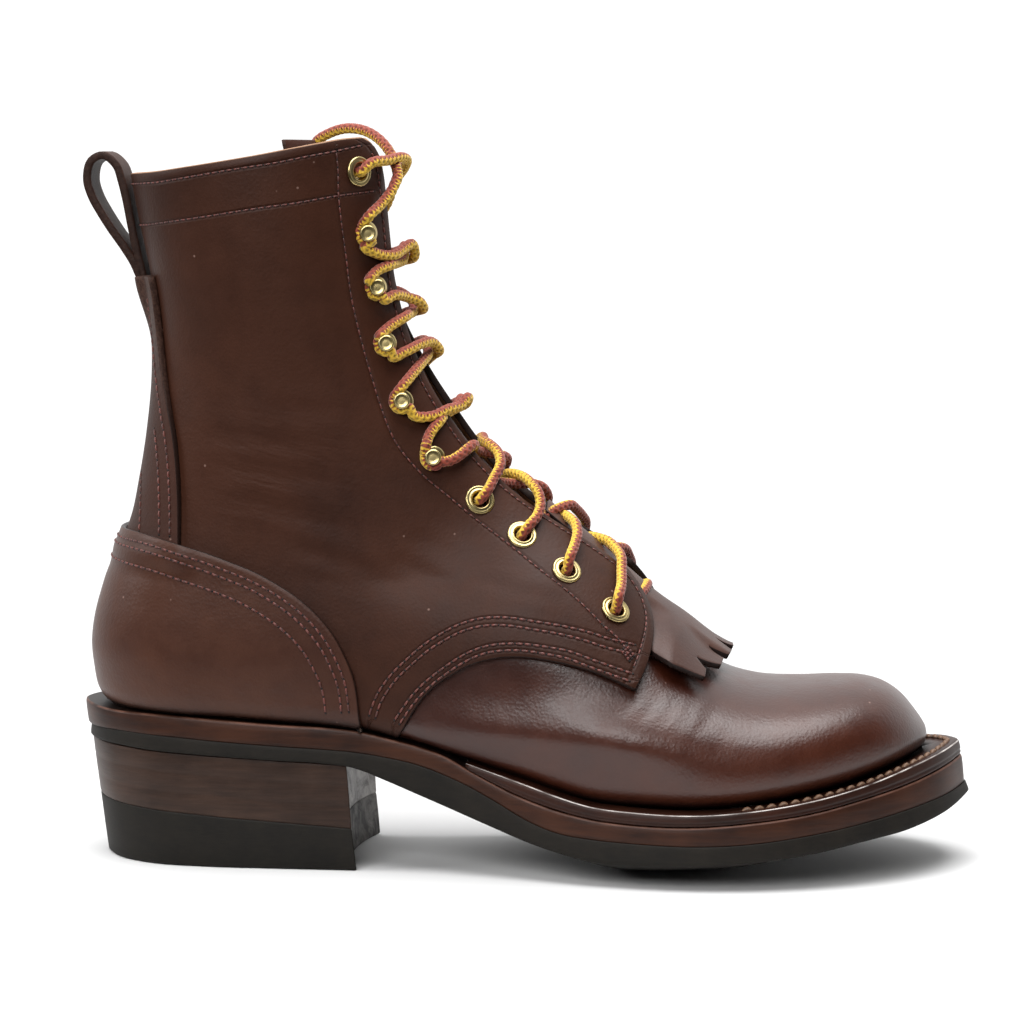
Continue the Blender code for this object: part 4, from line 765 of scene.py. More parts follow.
wrinkle = creased(quarter[..., [0, 2]], SHAFT_CREASES)
under_lap = smooth_step(0.0, LINING_BLEND, LINING_FROM + quarter[..., 2] - quarter[..., 0])
hide = np.where(lift - QUARTER_LIFT > 0.3, QUARTER_HIDE, np.minimum(lift - 0.05, QUARTER_HIDE))
hide = hide * (1.0 - under_lap) + (lift + SHAFT_LINING) * under_lap
heel_edge = (np.s_[0, ARCH_CELLS:-ARCH_CELLS],)
quarter_outer, quarter_inner = (
    seated(tucked(quarter + quarter_normal * height[..., None], quarter_normal), heel_edge)
    for height in (lift - wrinkle, lift - wrinkle - hide))


def run_in(grid):
    """Distance along each row of a grid from its first column."""
    steps = np.linalg.norm(np.diff(grid, axis=1), axis=2)
    return np.concatenate([np.zeros((len(grid), 1)), np.cumsum(steps, axis=1)], axis=1)


def row_inside(grid, run, distance):
    """The place on each row of a grid that lies at a distance from its first column."""
    k = np.argmax(run > distance, axis=1)
    row = np.arange(len(grid))
    share = (distance - run[row, k - 1]) / (run[row, k] - run[row, k - 1])
    return grid[row, k - 1] + (grid[row, k] - grid[row, k - 1]) * share[:, None]


def lacing_frame(row, side):
    """Place of a lacing row on a flap: point on the skin, outward normal, ways up it and to the throat."""
    point, normal = on_quarter(*LACING_ROWS[row], side, np.float64(0.0))
    near = LACING_ROWS[max(row - 1, 0)], LACING_ROWS[min(row + 1, len(LACING_ROWS) - 1)]
    up = on_quarter(*near[1], side, np.float64(0.0))[0] - on_quarter(*near[0], side, np.float64(0.0))[0]
    up -= normal * np.dot(up, normal)
    up /= np.linalg.norm(up)
    throat = np.cross(normal, up)
    throat *= -math.copysign(1.0, throat[1] * side)
    return point, normal, up, throat


quarter_quads = grid_quads(*quarter.shape[:2])
centres = quarter_outer.reshape(-1, 3)[quarter_quads].mean(axis=1)
whole = np.ones(len(quarter_quads), bool)
for row in EYELET_ROWS:
    for side in (LATERAL, MEDIAL):
        whole &= np.linalg.norm(centres - lacing_frame(row, side)[0], axis=1) > EYELET_HOLE
vertices, faces, edge, which, used = leather_sheet(quarter_outer, quarter_inner, quarter_quads[whole])
side_points = quarter.reshape(-1, 3)[:, [0, 2]][used]
seam_lines = {"eyestay": EYESTAY_SEAM, "wing_high": WING_SEAM_HIGH, "wing_low": WING_SEAM_LOW,
              "collar_band": BAND_SEAM, "collar_edge": COLLAR_SEAM}
flap_run = np.minimum(run_in(quarter_outer), run_in(quarter_outer[:, ::-1])[:, ::-1]).ravel()[used]
rim_count = len(vertices) - 2 * len(used)
values = {"edge": edge, "painted_crevice_shade": painted_crevice_shade(vertices), "flex": soft_spot(vertices, *SHAFT_FLEX),
          "collar_rim": edge * smooth_step(*COLLAR_HEIGHTS, vertices[:, 2])}
seam_distances = {label: signed_distance(side_points, line) for label, line in seam_lines.items()}
for label, far in {"flap_edge": flap_run, **seam_distances}.items():
    values[label] = np.concatenate([far, np.full(len(far) + rim_count, NO_SEAM)])
sunk_rows = (("eyestay", (0.0,)), ("wing_high", (-PAIR_HIGH, PAIR_HIGH)), ("wing_low", (-PAIR_LOW, PAIR_LOW)),
             ("collar_band", (0.0,)), ("collar_edge", (0.0,)), ("flap_edge", (FLAP_ROW,)))
# Oiled cowhide: dull and dark on the shaft, softly wrinkled over the ankle, pale along the collar's cut edge.
shaft_hide = oiled_hide("oiled_cowhide_shaft", "311a11", "3e2216", "160d0a", 0.5, 0.03, sunk_rows,
                        (104.0, 14.0, 2.4, 0.35), "8d6a50", 0.16)
boot_piece("quarters", vertices, faces, [shaft_hide, lining_leather], ["upper"], values,
           which, True)


# Tongue: a tapered leather behind the flaps, sewn in under the vamp, its top leaning back over the ankle.
# The flaps and the lace hold it down the throat.
TONGUE_DEPTH, TONGUE_LEATHER = 4.4, 1.9
TONGUE_LEAN, LEAN_HEIGHTS = 23.0, (198.0, 252.0)
TONGUE_HALF, TONGUE_FLARE, FLARE_HEIGHTS = 17.0, 5.0, (110.0, 200.0)
TONGUE_RISE, RISE_HEIGHTS = 1.2, (150.0, 215.0)

tongue_z = np.concatenate([np.linspace(91.0, 160.0, 44), np.linspace(161.5, 249.0, 56)])[:, None]
tongue_turn = np.sin(np.linspace(-0.5 * math.pi, 0.5 * math.pi, 33) * 0.92)[None] / math.sin(0.46 * math.pi)
tongue_y = tongue_turn * (TONGUE_HALF + TONGUE_FLARE * smooth_step(*FLARE_HEIGHTS, tongue_z))
tongue_level = tongue_z + 0.0 * tongue_y
tongue_x = skin_x(tongue_y, tongue_level, np.sign(tongue_y))
tongue = np.stack([tongue_x, axis_y(tongue_x) + tongue_y, tongue_level], axis=-1)
tongue_normal = grid_normals(tongue)
tongue_normal *= np.sign(np.sum(tongue_normal[..., 0]))
depth = TONGUE_DEPTH - TONGUE_RISE * smooth_step(*RISE_HEIGHTS, tongue_level)
tongue_outer = tongue - tongue_normal * depth[..., None]
tongue_outer[..., 0] -= TONGUE_LEAN * smooth_step(*LEAN_HEIGHTS, tongue_level)
tongue_inner = tongue_outer - tongue_normal * TONGUE_LEATHER
vertices, faces, edge, which, _ = leather_sheet(tongue_outer, tongue_inner, grid_quads(*tongue.shape[:2]))
tongue_hide = oiled_hide("oiled_cowhide_tongue", "341a12", "42241a", "33211b", 0.55, 0.02, gloss=0.15)
boot_piece("tongue_leather", vertices, faces, [tongue_hide, lining_leather], ["tongue"],
           {"edge": edge}, which)


# Kiltie: a false tongue of thick hide laced over the instep, spread and cut into a fringe over the vamp.
# Its cut edges are dark and its tabs stand a little off the vamp.
KILTIE_LEATHER = 2.0
TAB_CELLS, KILTIE_CELLS, FRINGE_CELLS = 8, 56, 14
KILTIE_BACK, KILTIE_BACK_HALF = 163.0, 9.0
TAB_CURL = (0.3, 0.9, 0.1, 0.8, 0.2, 0.6)
FREE_RISE, FREE_LENGTHS = 5.4, (197.0, 206.0)
CUT_RIM = ((0.05, 0.1), (0.3, 0.16), (0.7, 0.16), (0.95, 0.1))

# Bottoms of the fringe's cuts and then the two corners of each tab's tip, seen from above: x, y.
FRINGE_CUTS = np.array([
    (205.3, -35.0), (213.0, -24.8), (216.2, -9.8), (217.6, 2.0), (216.4, 13.8), (213.0, 28.5), (205.3, 38.5),
])
TAB_TIPS = np.array([
    ((217.0, -32.4), (217.0, -28.2)), ((221.7, -20.6), (222.2, -13.4)), ((223.8, -8.0), (224.4, -1.2)),
    ((224.6, 4.6), (224.2, 11.0)), ((222.2, 17.4), (221.7, 24.6)), ((217.0, 32.2), (217.0, 36.2)),
])

# Height of the kiltie's face over the vamp: x, height.
KILTIE_RISE = np.array([
    (163.0, 1.4), (176.0, 2.0), (190.0, 3.4), (199.0, 5.2), (206.0, 6.9), (213.0, 7.4), (220.0, 7.4),
    (227.0, 7.0),
])


def skin_z(x, y, side):
    """Height where the top of the forefoot is as wide as y at a length along the foot, by halving."""
    high = front_z(x)
    low = seat_z(x) + 0.35 * (high - seat_z(x))
    for _ in range(HALVINGS):
        mid = (low + high) / 2.0
        wide = half_width(x, mid, side) > np.abs(y)
        low, high = np.where(wide, mid, low), np.where(wide, high, mid)
    return high


tab = np.repeat(np.arange(len(TAB_TIPS)), TAB_CELLS + 1)
in_tab = np.tile(np.linspace(0.0, 1.0, TAB_CELLS + 1), len(TAB_TIPS))[:, None]
cuts = FRINGE_CUTS[tab] + (FRINGE_CUTS[tab + 1] - FRINGE_CUTS[tab]) * in_tab
tips = TAB_TIPS[tab, 0] + (TAB_TIPS[tab, 1] - TAB_TIPS[tab, 0]) * in_tab
width_share = (tab + in_tab[:, 0]) / len(TAB_TIPS) * 2.0 - 1.0
start_y = axis_y(KILTIE_BACK) + KILTIE_BACK_HALF * width_share
start = np.column_stack([np.full(len(tab), KILTIE_BACK), start_y])
reach = np.linspace(0.0, 1.0, KILTIE_CELLS + 1)[:, None]
body_x = start[:, 0] + (cuts[:, 0] - start[:, 0]) * reach
body_y = start[:, 1] + (cuts[:, 1] - start[:, 1]) * smooth_step(0.25, 1.05, reach)
out = np.linspace(0.0, 1.0, FRINGE_CELLS + 1)[1:, None]
kiltie_x = np.vstack([body_x, cuts[:, 0] + (tips[:, 0] - cuts[:, 0]) * out])
kiltie_y = np.vstack([body_y, cuts[:, 1] + (tips[:, 1] - cuts[:, 1]) * out])


def instep_z(x, y):
    """Height of the vamp's skin over a place seen from above."""
    off = y - axis_y(x)
    return skin_z(x, off, np.sign(off))


kiltie = np.stack([kiltie_x, kiltie_y, instep_z(kiltie_x, kiltie_y)], axis=-1)
slope_x = instep_z(kiltie_x + 0.5, kiltie_y) - instep_z(kiltie_x - 0.5, kiltie_y)
slope_y = instep_z(kiltie_x, kiltie_y + 0.5) - instep_z(kiltie_x, kiltie_y - 0.5)
kiltie_normal = np.stack([-slope_x, -slope_y, np.ones_like(slope_x)], axis=-1)
kiltie_normal /= np.linalg.norm(kiltie_normal, axis=-1, keepdims=True)
past_cut = np.vstack([0.0 * reach, out])
past_flap = FREE_RISE * smooth_step(*FREE_LENGTHS, kiltie_x)
under_flap = flap_lift(kiltie_x, kiltie[..., 2]) - QUARTER_HIDE - 0.15 + past_flap
beside = smooth_step(10.0, 14.0, np.abs(kiltie_y - axis_y(kiltie_x)))
rise = column(KILTIE_RISE, 1, kiltie_x)
rise = rise + (np.minimum(rise, under_flap) - rise) * beside + np.array(TAB_CURL)[tab] * past_cut ** 2
thick = np.minimum(KILTIE_LEATHER, rise - 0.1)
kiltie_outer = kiltie + kiltie_normal * rise[..., None]
kiltie_inner = kiltie + kiltie_normal * (rise - thick)[..., None]
jump = np.arange(TAB_CELLS, kiltie.shape[1] - 1, TAB_CELLS + 1)
index = np.arange(kiltie.shape[0] * kiltie.shape[1]).reshape(kiltie.shape[:2])
index[:KILTIE_CELLS + 1, jump + 1] = index[:KILTIE_CELLS + 1, jump]
kiltie_quads = np.delete(quads_between(index), jump, axis=1).reshape(-1, 4)
vertices, faces, edge, which, _ = leather_sheet(kiltie_outer, kiltie_inner, kiltie_quads, CUT_RIM)
kiltie_hide = oiled_hide("oiled_cowhide_kiltie", "3c241d", "4e3228", "0e0807", 0.48, 0.05, gloss=0.3)
boot_piece("kiltie_fringe", vertices, faces, [kiltie_hide, kiltie_hide], ["kiltie"],
           {"edge": edge}, which)


# Counter: a cap of hide moulded round the heel over the quarters, its curved top edge sewn in three rows.
# The stiffener under it keeps it smooth, and its top laps over the end of the backstay.
COUNTER_LEATHER = 1.8
COUNTER_EDGE = np.array([
    (27.3, 113.2), (34.1, 112.5), (42.4, 110.7), (50.4, 108.5), (58.4, 105.7), (66.8, 102.3),
    (73.8, 98.5), (80.8, 94.0), (87.2, 88.6), (92.8, 82.2), (97.1, 74.9), (100.2, 67.4), (101.6, 59.9),
    (102.2, 52.2), (102.4, 48.8),
])
COUNTER_FOOT, COUNTER_TOP = 54.4, 112.8
COUNTER_CELLS, COUNTER_LEVELS = 80, 46
STAY_STEP, STAY_HEIGHTS, STAY_LENGTHS = 2.5, (99.0, 107.0), (40.6, 50.0)


def over_quarter(side_view, leather, stand_off=None):
    """Sheet of leather just over the quarters from its side view, wrapped round the back, at a stand-off."""
    grid = both_sides(side_view)
    normal = grid_normals(grid)
    height = flap_lift(grid[..., 0], grid[..., 2])[..., None]
    if stand_off:
        height = height + stand_off(grid)[..., None]
    outer, inner = (tucked(grid + normal * (height + up), normal) for up in (GAP + leather, 0.1))
    return leather_sheet(outer, inner, grid_quads(*grid.shape[:2]))


def back_point(z):
    """Back line of the skin at heights, seen from the side."""
    return np.column_stack([column(SHAFT_LEVELS, 1, z), z])


turn = np.linspace(0.0, 1.0, COUNTER_CELLS + 1)
spread = 0.7 * (1.0 - np.cos(0.5 * math.pi * turn)) + 0.3 * turn ** 1.6
counter_back = back_point(np.linspace(COUNTER_FOOT, COUNTER_TOP, COUNTER_LEVELS))
counter_top = along(np.vstack([counter_back[-1], COUNTER_EDGE]), spread)
seat_x = counter_back[0, 0] + (COUNTER_EDGE[-1, 0] - counter_back[0, 0]) * spread
counter_low = np.column_stack([seat_x, seat_z(seat_x) + 0.5])
counter_top[-1] = counter_low[-1]
counter_front = np.repeat(counter_low[-1:], COUNTER_LEVELS, axis=0)
counter_side = spanned_patch(counter_low, counter_top, counter_back, counter_front)


def over_stay(x, z):
    """Height of the counter's top over the end of the backstay."""
    return STAY_STEP * smooth_step(*STAY_HEIGHTS, z) * (1.0 - smooth_step(*STAY_LENGTHS, x))


vertices, faces, edge, which, _ = over_quarter(
    counter_side, COUNTER_LEATHER, lambda grid: over_stay(grid[..., 0], grid[..., 2]))
counter_hide = oiled_hide("oiled_cowhide_counter", "391d12", "472718", "1c100c", 0.44, 0.06, gloss=0.28)
boot_piece("heel_counter", vertices, faces, [counter_hide, lining_leather], ["counter"],
           {"edge": edge, "painted_crevice_shade": painted_crevice_shade(vertices)}, which, True)


# Backstay: a strip of hide that covers the back seam from under the counter's top to the pull loop.
# Smooth below, rough-out near its top, with thick bare edges.
BACKSTAY_LEATHER = 2.2
STAY_LEVELS, STAY_CELLS = 66, 26
LOOP_STEP, LOOP_HEIGHTS, LOOP_HALVES = 3.2, (178.0, 202.0), (7.5, 11.5)
NAP_SHARE, NAP_HEIGHTS = 0.85, (148.0, 176.0)
BACKSTAY_EDGE = np.array([
    (40.8, 107.0), (40.8, 111.3), (40.9, 119.0), (40.8, 129.5), (40.2, 140.0), (39.3, 148.0), (37.8, 155.8),
    (35.9, 166.9), (34.5, 178.2), (33.3, 189.6), (32.5, 197.2), (31.4, 203.0),
])


def over_loop(grid):
    """Height of the backstay's top over the legs of the pull loop."""
    off = np.abs(grid[..., 1] - axis_y(grid[..., 0]))
    return LOOP_STEP * smooth_step(*LOOP_HEIGHTS, grid[..., 2]) * (1.0 - smooth_step(*LOOP_HALVES, off))


def napped(material, pale, dark):
    """Adds the rough flesh side's grey nap over a finish, by the attribute that marks it."""
    tree = material.node_tree
    shader = tree.nodes["Principled BSDF"]
    place = node(tree, "TexCoord", {}).node.outputs["Object"]
    under = shader.inputs["Base Color"].links[0].from_socket
    fibre = node(tree, "TexNoise", {"Scale": 1.0 / (1.1 * MM), "Detail": 4.0, "Roughness": 0.75},
                 {"Vector": place})
    share = node(tree, "MapRange", {"From Min": 0.42, "From Max": 0.66}, {"Value": fibre})
    tufts = node(tree, "Mix", {"data_type": "RGBA", 6: linear(dark), 7: linear(pale)}, {0: share})
    mark = node(tree, "Attribute", {"attribute_name": "nap"})
    colour = node(tree, "Mix", {"data_type": "RGBA"}, {0: mark, 6: under, 7: tufts})
    tree.links.new(colour, shader.inputs["Base Color"])
    return material


turn = np.linspace(0.0, 1.0, STAY_CELLS + 1)
spread = 0.8 * (1.0 - np.cos(0.5 * math.pi * turn)) + 0.2 * turn
stay_back = back_point(np.linspace(*BACKSTAY_EDGE[[0, -1], 1], STAY_LEVELS))
stay_front = along(BACKSTAY_EDGE, np.linspace(0.0, 1.0, STAY_LEVELS))
stay_low = stay_back[0] + (stay_front[0] - stay_back[0]) * spread[:, None]
stay_high = stay_back[-1] + (stay_front[-1] - stay_back[-1]) * spread[:, None]
vertices, faces, edge, which, _ = over_quarter(
    spanned_patch(stay_low, stay_high, stay_back, stay_front), BACKSTAY_LEATHER, over_loop)
nap = NAP_SHARE * smooth_step(*NAP_HEIGHTS, vertices[:, 2])
stay_hide = oiled_hide("oiled_cowhide_backstay", "301b13", "3c2219", "1c100c", 0.55, 0.0, gloss=0.16)
stay_hide = napped(stay_hide, "4f372d", "2f1d17")
boot_piece("back_strip", vertices, faces, [stay_hide, lining_leather], ["backstay"],
           {"edge": edge, "nap": nap}, which, True)


# Pull loop: a folded strap sewn under the backstay's top, standing free of the shaft.
# Two layers glued flesh to flesh, so its edge shows a dark line between them.
LOOP_WIDTH, LOOP_LEATHER, LOOP_SKIVED = 15.0, 2.7, 1.0
LOOP_ROWS, LOOP_COLUMNS = 91, 13
LOOP_NAP = 0.35
PULL_LOOP = np.array([
    (24.4, 196.0), (22.3, 201.0), (20.6, 206.0), (17.0, 212.0), (12.2, 218.8), (8.3, 225.0), (5.8, 229.6),
    (4.1, 236.0), (5.9, 242.3), (9.6, 244.0), (14.2, 240.8), (16.3, 235.0), (17.3, 231.0), (19.8, 218.0),
    (22.2, 207.0), (23.8, 201.5), (25.6, 196.0),
])

loop_line = along(PULL_LOOP, np.linspace(0.0, 1.0, LOOP_ROWS))
tangent = np.gradient(loop_line, axis=0)
loop_normal = np.stack([-tangent[:, 1], tangent[:, 0]], axis=1) / np.linalg.norm(tangent, axis=1)[:, None]
loop_y = np.linspace(-LOOP_WIDTH / 2.0, LOOP_WIDTH / 2.0, LOOP_COLUMNS)
skived = LOOP_SKIVED + (LOOP_LEATHER - LOOP_SKIVED) * smooth_step(197.0, 206.0, loop_line[:, 1:])
skins = []
for half in (0.5, -0.5):
    flat = loop_line + loop_normal * half * skived
    skins.append(np.stack(np.broadcast_arrays(flat[:, :1], loop_y[None], flat[:, 1:]), axis=-1))
vertices, faces, edge, which, _ = leather_sheet(*skins, grid_quads(LOOP_ROWS, LOOP_COLUMNS))
boot_piece("pull_strap", vertices, faces, [stay_hide, stay_hide], ["pull_loop"],
           {"edge": edge, "nap": np.full(len(edge), LOOP_NAP)}, which)


# Welt: a strip of leather round the forefoot, sewn to the upper and to the midsole with thick waxed thread.
# Its top edge carries a pale line, partly where it was trimmed and partly a painted edge highlight.
SOLE_OUTLINE = np.array([
    (0.0, 0.0, 0.0), (9.0, -20.5, 20.5), (24.0, -30.5, 30.5), (45.0, -34.6, 34.4), (70.0, -35.6, 34.2),
    (100.0, -36.2, 32.6), (130.0, -38.6, 32.4), (155.0, -44.0, 36.0), (180.0, -51.0, 43.5),
    (200.0, -55.0, 50.0), (217.0, -56.3, 53.8), (236.0, -54.6, 55.0), (256.0, -49.0, 53.0),
    (275.0, -39.6, 47.6), (291.0, -27.5, 38.8), (302.0, -14.5, 27.8), (308.0, -1.5, 16.5),
    (310.3, 7.5, 7.5),
])


def sole_edge_leather(name, deep, lit, pale, roughness, grain):
    """Trimmed and dressed leather edge: dark stain over long fibres, a pale line along the cut top corner."""
    material, tree, shader, place = new_finish(name, roughness, Specular_IOR_Level=0.22)
    squeezed = node(tree, "Mapping", {"Scale": (0.09, 0.09, 1.0)}, {"Vector": place})
    fibres = node(tree, "TexNoise", {"Scale": 1.0 / (grain * MM), "Detail": 5.0, "Roughness": 0.65},
                  {"Vector": squeezed})
    clouds = node(tree, "TexNoise", {"Scale": 1.0 / (22 * MM), "Detail": 3.0}, {"Vector": place})
    blend = node(tree, "Math", {"operation": "MULTIPLY_ADD", 1: 0.7}, {0: fibres, 2: clouds})
    share = node(tree, "MapRange", {"From Min": 0.6, "From Max": 1.15}, {"Value": blend})
    stain = node(tree, "Mix", {"data_type": "RGBA", 6: linear(deep), 7: linear(lit)}, {0: share})
    down = node(tree, "Attribute", {"attribute_name": "down"})
    # Pale line along the top corner, in patches: partly the trimmed raw edge, partly a painted edge
    # highlight.
    corner = node(tree, "MapRange", {"From Min": 0.1, "From Max": 0.02, "To Max": 0.85}, {"Value": down})
    worn = node(tree, "TexNoise", {"Scale": 1.0 / (9 * MM), "Detail": 4.0}, {"Vector": place})
    patchy = node(tree, "MapRange", {"From Min": 0.35, "From Max": 0.6}, {"Value": worn})
    flat = node(tree, "Math", {"operation": "GREATER_THAN", 1: -0.25}, {0: down})
    line = node(tree, "Math", {"operation": "MULTIPLY"}, {0: corner, 1: patchy})
    line = node(tree, "Math", {"operation": "MULTIPLY"}, {0: line, 1: flat})
    colour = node(tree, "Mix", {"data_type": "RGBA", 7: linear(pale)}, {0: line, 6: stain})
    # Painted shade: the top face of the layer, in the shade under the upper, darkened to near black.
    painted_top_shade = node(tree, "MapRange", {"From Min": -0.4, "From Max": -0.9, "To Max": 0.8}, {"Value": down})
    colour = node(tree, "Mix", {"data_type": "RGBA", 7: linear("0d0705")}, {0: painted_top_shade, 6: colour})
    bump = node(tree, "Bump", {"Strength": 0.5, "Distance": 0.25 * MM}, {"Height": fibres})
    tree.links.new(colour, shader.inputs["Base Color"])
    tree.links.new(bump, shader.inputs["Normal"])
    return material


welt_leather = sole_edge_leather("stained_welt_leather", "1f0e08", "361b11", "d2cbc6", 0.42, 1.4)
WELT_FROM = 138.5
WELT_LEAN = (2.2, 1.6)
WELT_HIDDEN = 9.0

# Top of the welt, as insets and heights, and its edge down and under, as shares and insets.
WELT_TOP = ((14.0, 0.0), (8.6, 0.1), (7.6, -0.25), (6.2, -0.25), (5.2, 0.1), (3.2, 0.15), (2.0, 0.0))
WELT_EDGE = ((0.08, 1.62), (0.3, 1.45), (0.5, 1.3), (0.62, 1.3), (0.72, 1.7), (0.82, 1.35), (0.95, 1.5),
             (1.0, 2.0), (1.0, 14.0))
OPEN_FACE = -0.3


def welt_ring(inset, toe_lean, start=WELT_FROM):
    """Line round the forefoot at an inset from the sole's edge, from one waist to the other."""
    outer, inner = outline_halves(SOLE_OUTLINE, 900, inset, toe_lean)
    chain = np.vstack([outer, inner[-2::-1]])
    return along(chain[chain[:, 0] > start][::3], np.linspace(0.0, 1.0, 261), 1200)


welt_rows, welt_down = [], []
for inset, rise in WELT_TOP:
    line = welt_ring(inset, WELT_LEAN[0])
    welt_rows.append(np.column_stack([line, seat_z(line[:, 0]) + rise]))
    welt_down.append(HIDDEN_FACE if inset > WELT_HIDDEN else OPEN_FACE)
for share, inset in WELT_EDGE:
    line = welt_ring(inset, WELT_LEAN[0] + (WELT_LEAN[1] - WELT_LEAN[0]) * share)
    top, low = seat_z(line[:, 0]), column(SOLE_LAYERS, UNDER_WELT, line[:, 0]) + GAP
    welt_rows.append(np.column_stack([line, top + (low - top) * share]))
    welt_down.append(UNDER_FACE if inset > WELT_HIDDEN else share)
welt = np.array(welt_rows)
index = np.arange(welt.shape[0] * welt.shape[1]).reshape(welt.shape[:2])
index = np.vstack([index, index[:1]])
welt_quads = quads_between(index).reshape(-1, 4)
ends = []
for end in (0, -1):
    ring = index[:-1, end]
    half = len(ring) // 2
    cap = [(ring[k], ring[k + 1], ring[-2 - k], ring[-1 - k]) for k in range(half - 1)]
    ends.append(np.array(cap if end == 0 else [row[::-1] for row in cap])[:, ::-1])
down = np.repeat(np.array(welt_down)[:, None], welt.shape[1], axis=1)
boot_piece("welt_strip", welt.reshape(-1, 3), np.vstack([welt_quads, *ends]), [welt_leather],
           ["welt"], {"down": down.ravel()})


# Midsole: a full-length slip of sole leather under the welt and the heel seat, trimmed square.
# Its edge is stained a warm brown, with the fibres running along it.
midsole_leather = sole_edge_leather("stained_sole_leather", "210f08", "402213", "6e4a3c", 0.45, 1.6)
MIDSOLE_EDGE = ((0.0, 1.9), (0.03, 1.35), (0.12, 1.1), (0.4, 0.95), (0.8, 0.9), (0.97, 0.92), (1.0, 1.05))
MIDSOLE_TOE = (1.6, 0.8)
SEAT_LEAN, SEAT_LEAN_TO = 1.2, 50.0
SOLE_POINTS = 170
midsole_rings, down = slab_rings(
    SOLE_OUTLINE, SOLE_POINTS, MIDSOLE_EDGE, lambda x, out: column(SOLE_LAYERS, UNDER_WELT, x),
    lambda x, out: column(SOLE_LAYERS, UNDER_MIDSOLE, x), MIDSOLE_TOE)
near_back = np.clip(1.0 - midsole_rings[..., 0] / SEAT_LEAN_TO, 0.0, 1.0)
midsole_rings[..., 0] -= SEAT_LEAN * (1.0 - np.clip(down, 0.0, 1.0)) * near_back
ring_piece("midsole_slip", midsole_rings, midsole_leather, "sole_leather", ["midsole"], down=down)


# Outsole: black rubber from the heel seat to the toe, thin at its sanded toe edge and crowned to the floor.
# Its sides are buffed matt.
CROWN, CROWN_START, CROWN_END = 9.0, (150.0, 195.0), (230.0, 268.0)
OUTSOLE_EDGE = ((0.0, 0.55), (0.04, 0.42), (0.3, 0.3), (0.75, 0.1), (0.97, 0.05), (1.0, 0.25))
OUTSOLE_TOE = (0.8, 0.0)
OUTSOLE_BACK, OUTSOLE_BACK_TO = 1.6, 60.0
SOLE_JOINT = 0.05


def black_rubber(name, deep, lit, roughness):
    """Buffed rubber: nearly black, matt, with a sanded grain along the edge and grey dust."""
    material, tree, shader, place = new_finish(name, roughness, Specular_IOR_Level=0.22)
    squeezed = node(tree, "Mapping", {"Scale": (0.25, 0.25, 1.0)}, {"Vector": place})
    sanded = node(tree, "TexNoise", {"Scale": 1.0 / (0.9 * MM), "Detail": 4.0}, {"Vector": squeezed})
    dust = node(tree, "TexNoise", {"Scale": 1.0 / (14 * MM), "Detail": 5.0, "Roughness": 0.65},
                {"Vector": place})
    blend = node(tree, "Math", {"operation": "MULTIPLY_ADD", 1: 0.4}, {0: sanded, 2: dust})
    share = node(tree, "MapRange", {"From Min": 0.5, "From Max": 0.95}, {"Value": blend})
    colour = node(tree, "Mix", {"data_type": "RGBA", 6: linear(deep), 7: linear(lit)}, {0: share})
    bump = node(tree, "Bump", {"Strength": 0.45, "Distance": 0.15 * MM}, {"Height": sanded})
    tree.links.new(colour, shader.inputs["Base Color"])
    tree.links.new(bump, shader.inputs["Normal"])
    return material


def outsole_under(x, out):
    """Underside of the outsole: its edge height, the middle of the forefoot crowned down to the floor."""
    reach = smooth_step(*CROWN_START, x) * (1.0 - smooth_step(*CROWN_END, x))
    return np.maximum(column(SOLE_LAYERS, UNDER_OUTSOLE, x) - CROWN * reach * (1.0 - out ** 2), 0.0)


sole_rubber = black_rubber("buffed_black_rubber", "0f0c08", "1c1711", 0.66)
outsole_rings, _ = slab_rings(
    SOLE_OUTLINE, SOLE_POINTS, OUTSOLE_EDGE,
    lambda x, out: column(SOLE_LAYERS, UNDER_MIDSOLE, x) - SOLE_JOINT, outsole_under, OUTSOLE_TOE)
outsole_rings[..., 0] += OUTSOLE_BACK * np.clip(1.0 - outsole_rings[..., 0] / OUTSOLE_BACK_TO, 0.0, 1.0)
ring_piece("outsole_rubber", outsole_rings, sole_rubber, "black_rubber", ["outsole"])


# Heel: three lifts of leather and a rubber top lift, trimmed together so that they lean in to the floor.
# The breast is left scuffed and grey.
HEEL_SEAT_BACK, HEEL_SEAT_SLOPE = 41.6, 0.047
TOP_LIFT_BACK, TOP_LIFT_SLOPE = 21.2, 0.066
BREAST_X, BREAST_LEAN, BREAST_HOLLOW = 97.5, 3.0, 5.0
HEEL_SIDE_POINTS = 110
LIFTS_MARK = 0.6
HEEL_INSET, HEEL_TAPER = 1.0, 2.2
HEEL_BACK, HEEL_BACK_LEAN = 1.3, 3.1
HEEL_MIDDLE = np.array((50.0, 0.0))
BREAST_SHARES = np.concatenate([[-0.978], np.linspace(-0.93, 0.93, 27), [0.978]])

# Edges of the leather lifts, grooved where they meet, and of the rubber one: share of the way down, inset.
LIFTS_EDGE = ((0.0, 0.3), (0.03, 0.1), (0.3, 0.0), (0.33, 0.12), (0.36, 0.0), (0.63, 0.0), (0.66, 0.12),
              (0.69, 0.0), (0.97, 0.05), (1.0, 0.25))
TOP_LIFT_EDGE = ((0.0, 0.2), (0.04, 0.05), (0.5, 0.0), (0.97, 0.05), (1.0, 0.5))


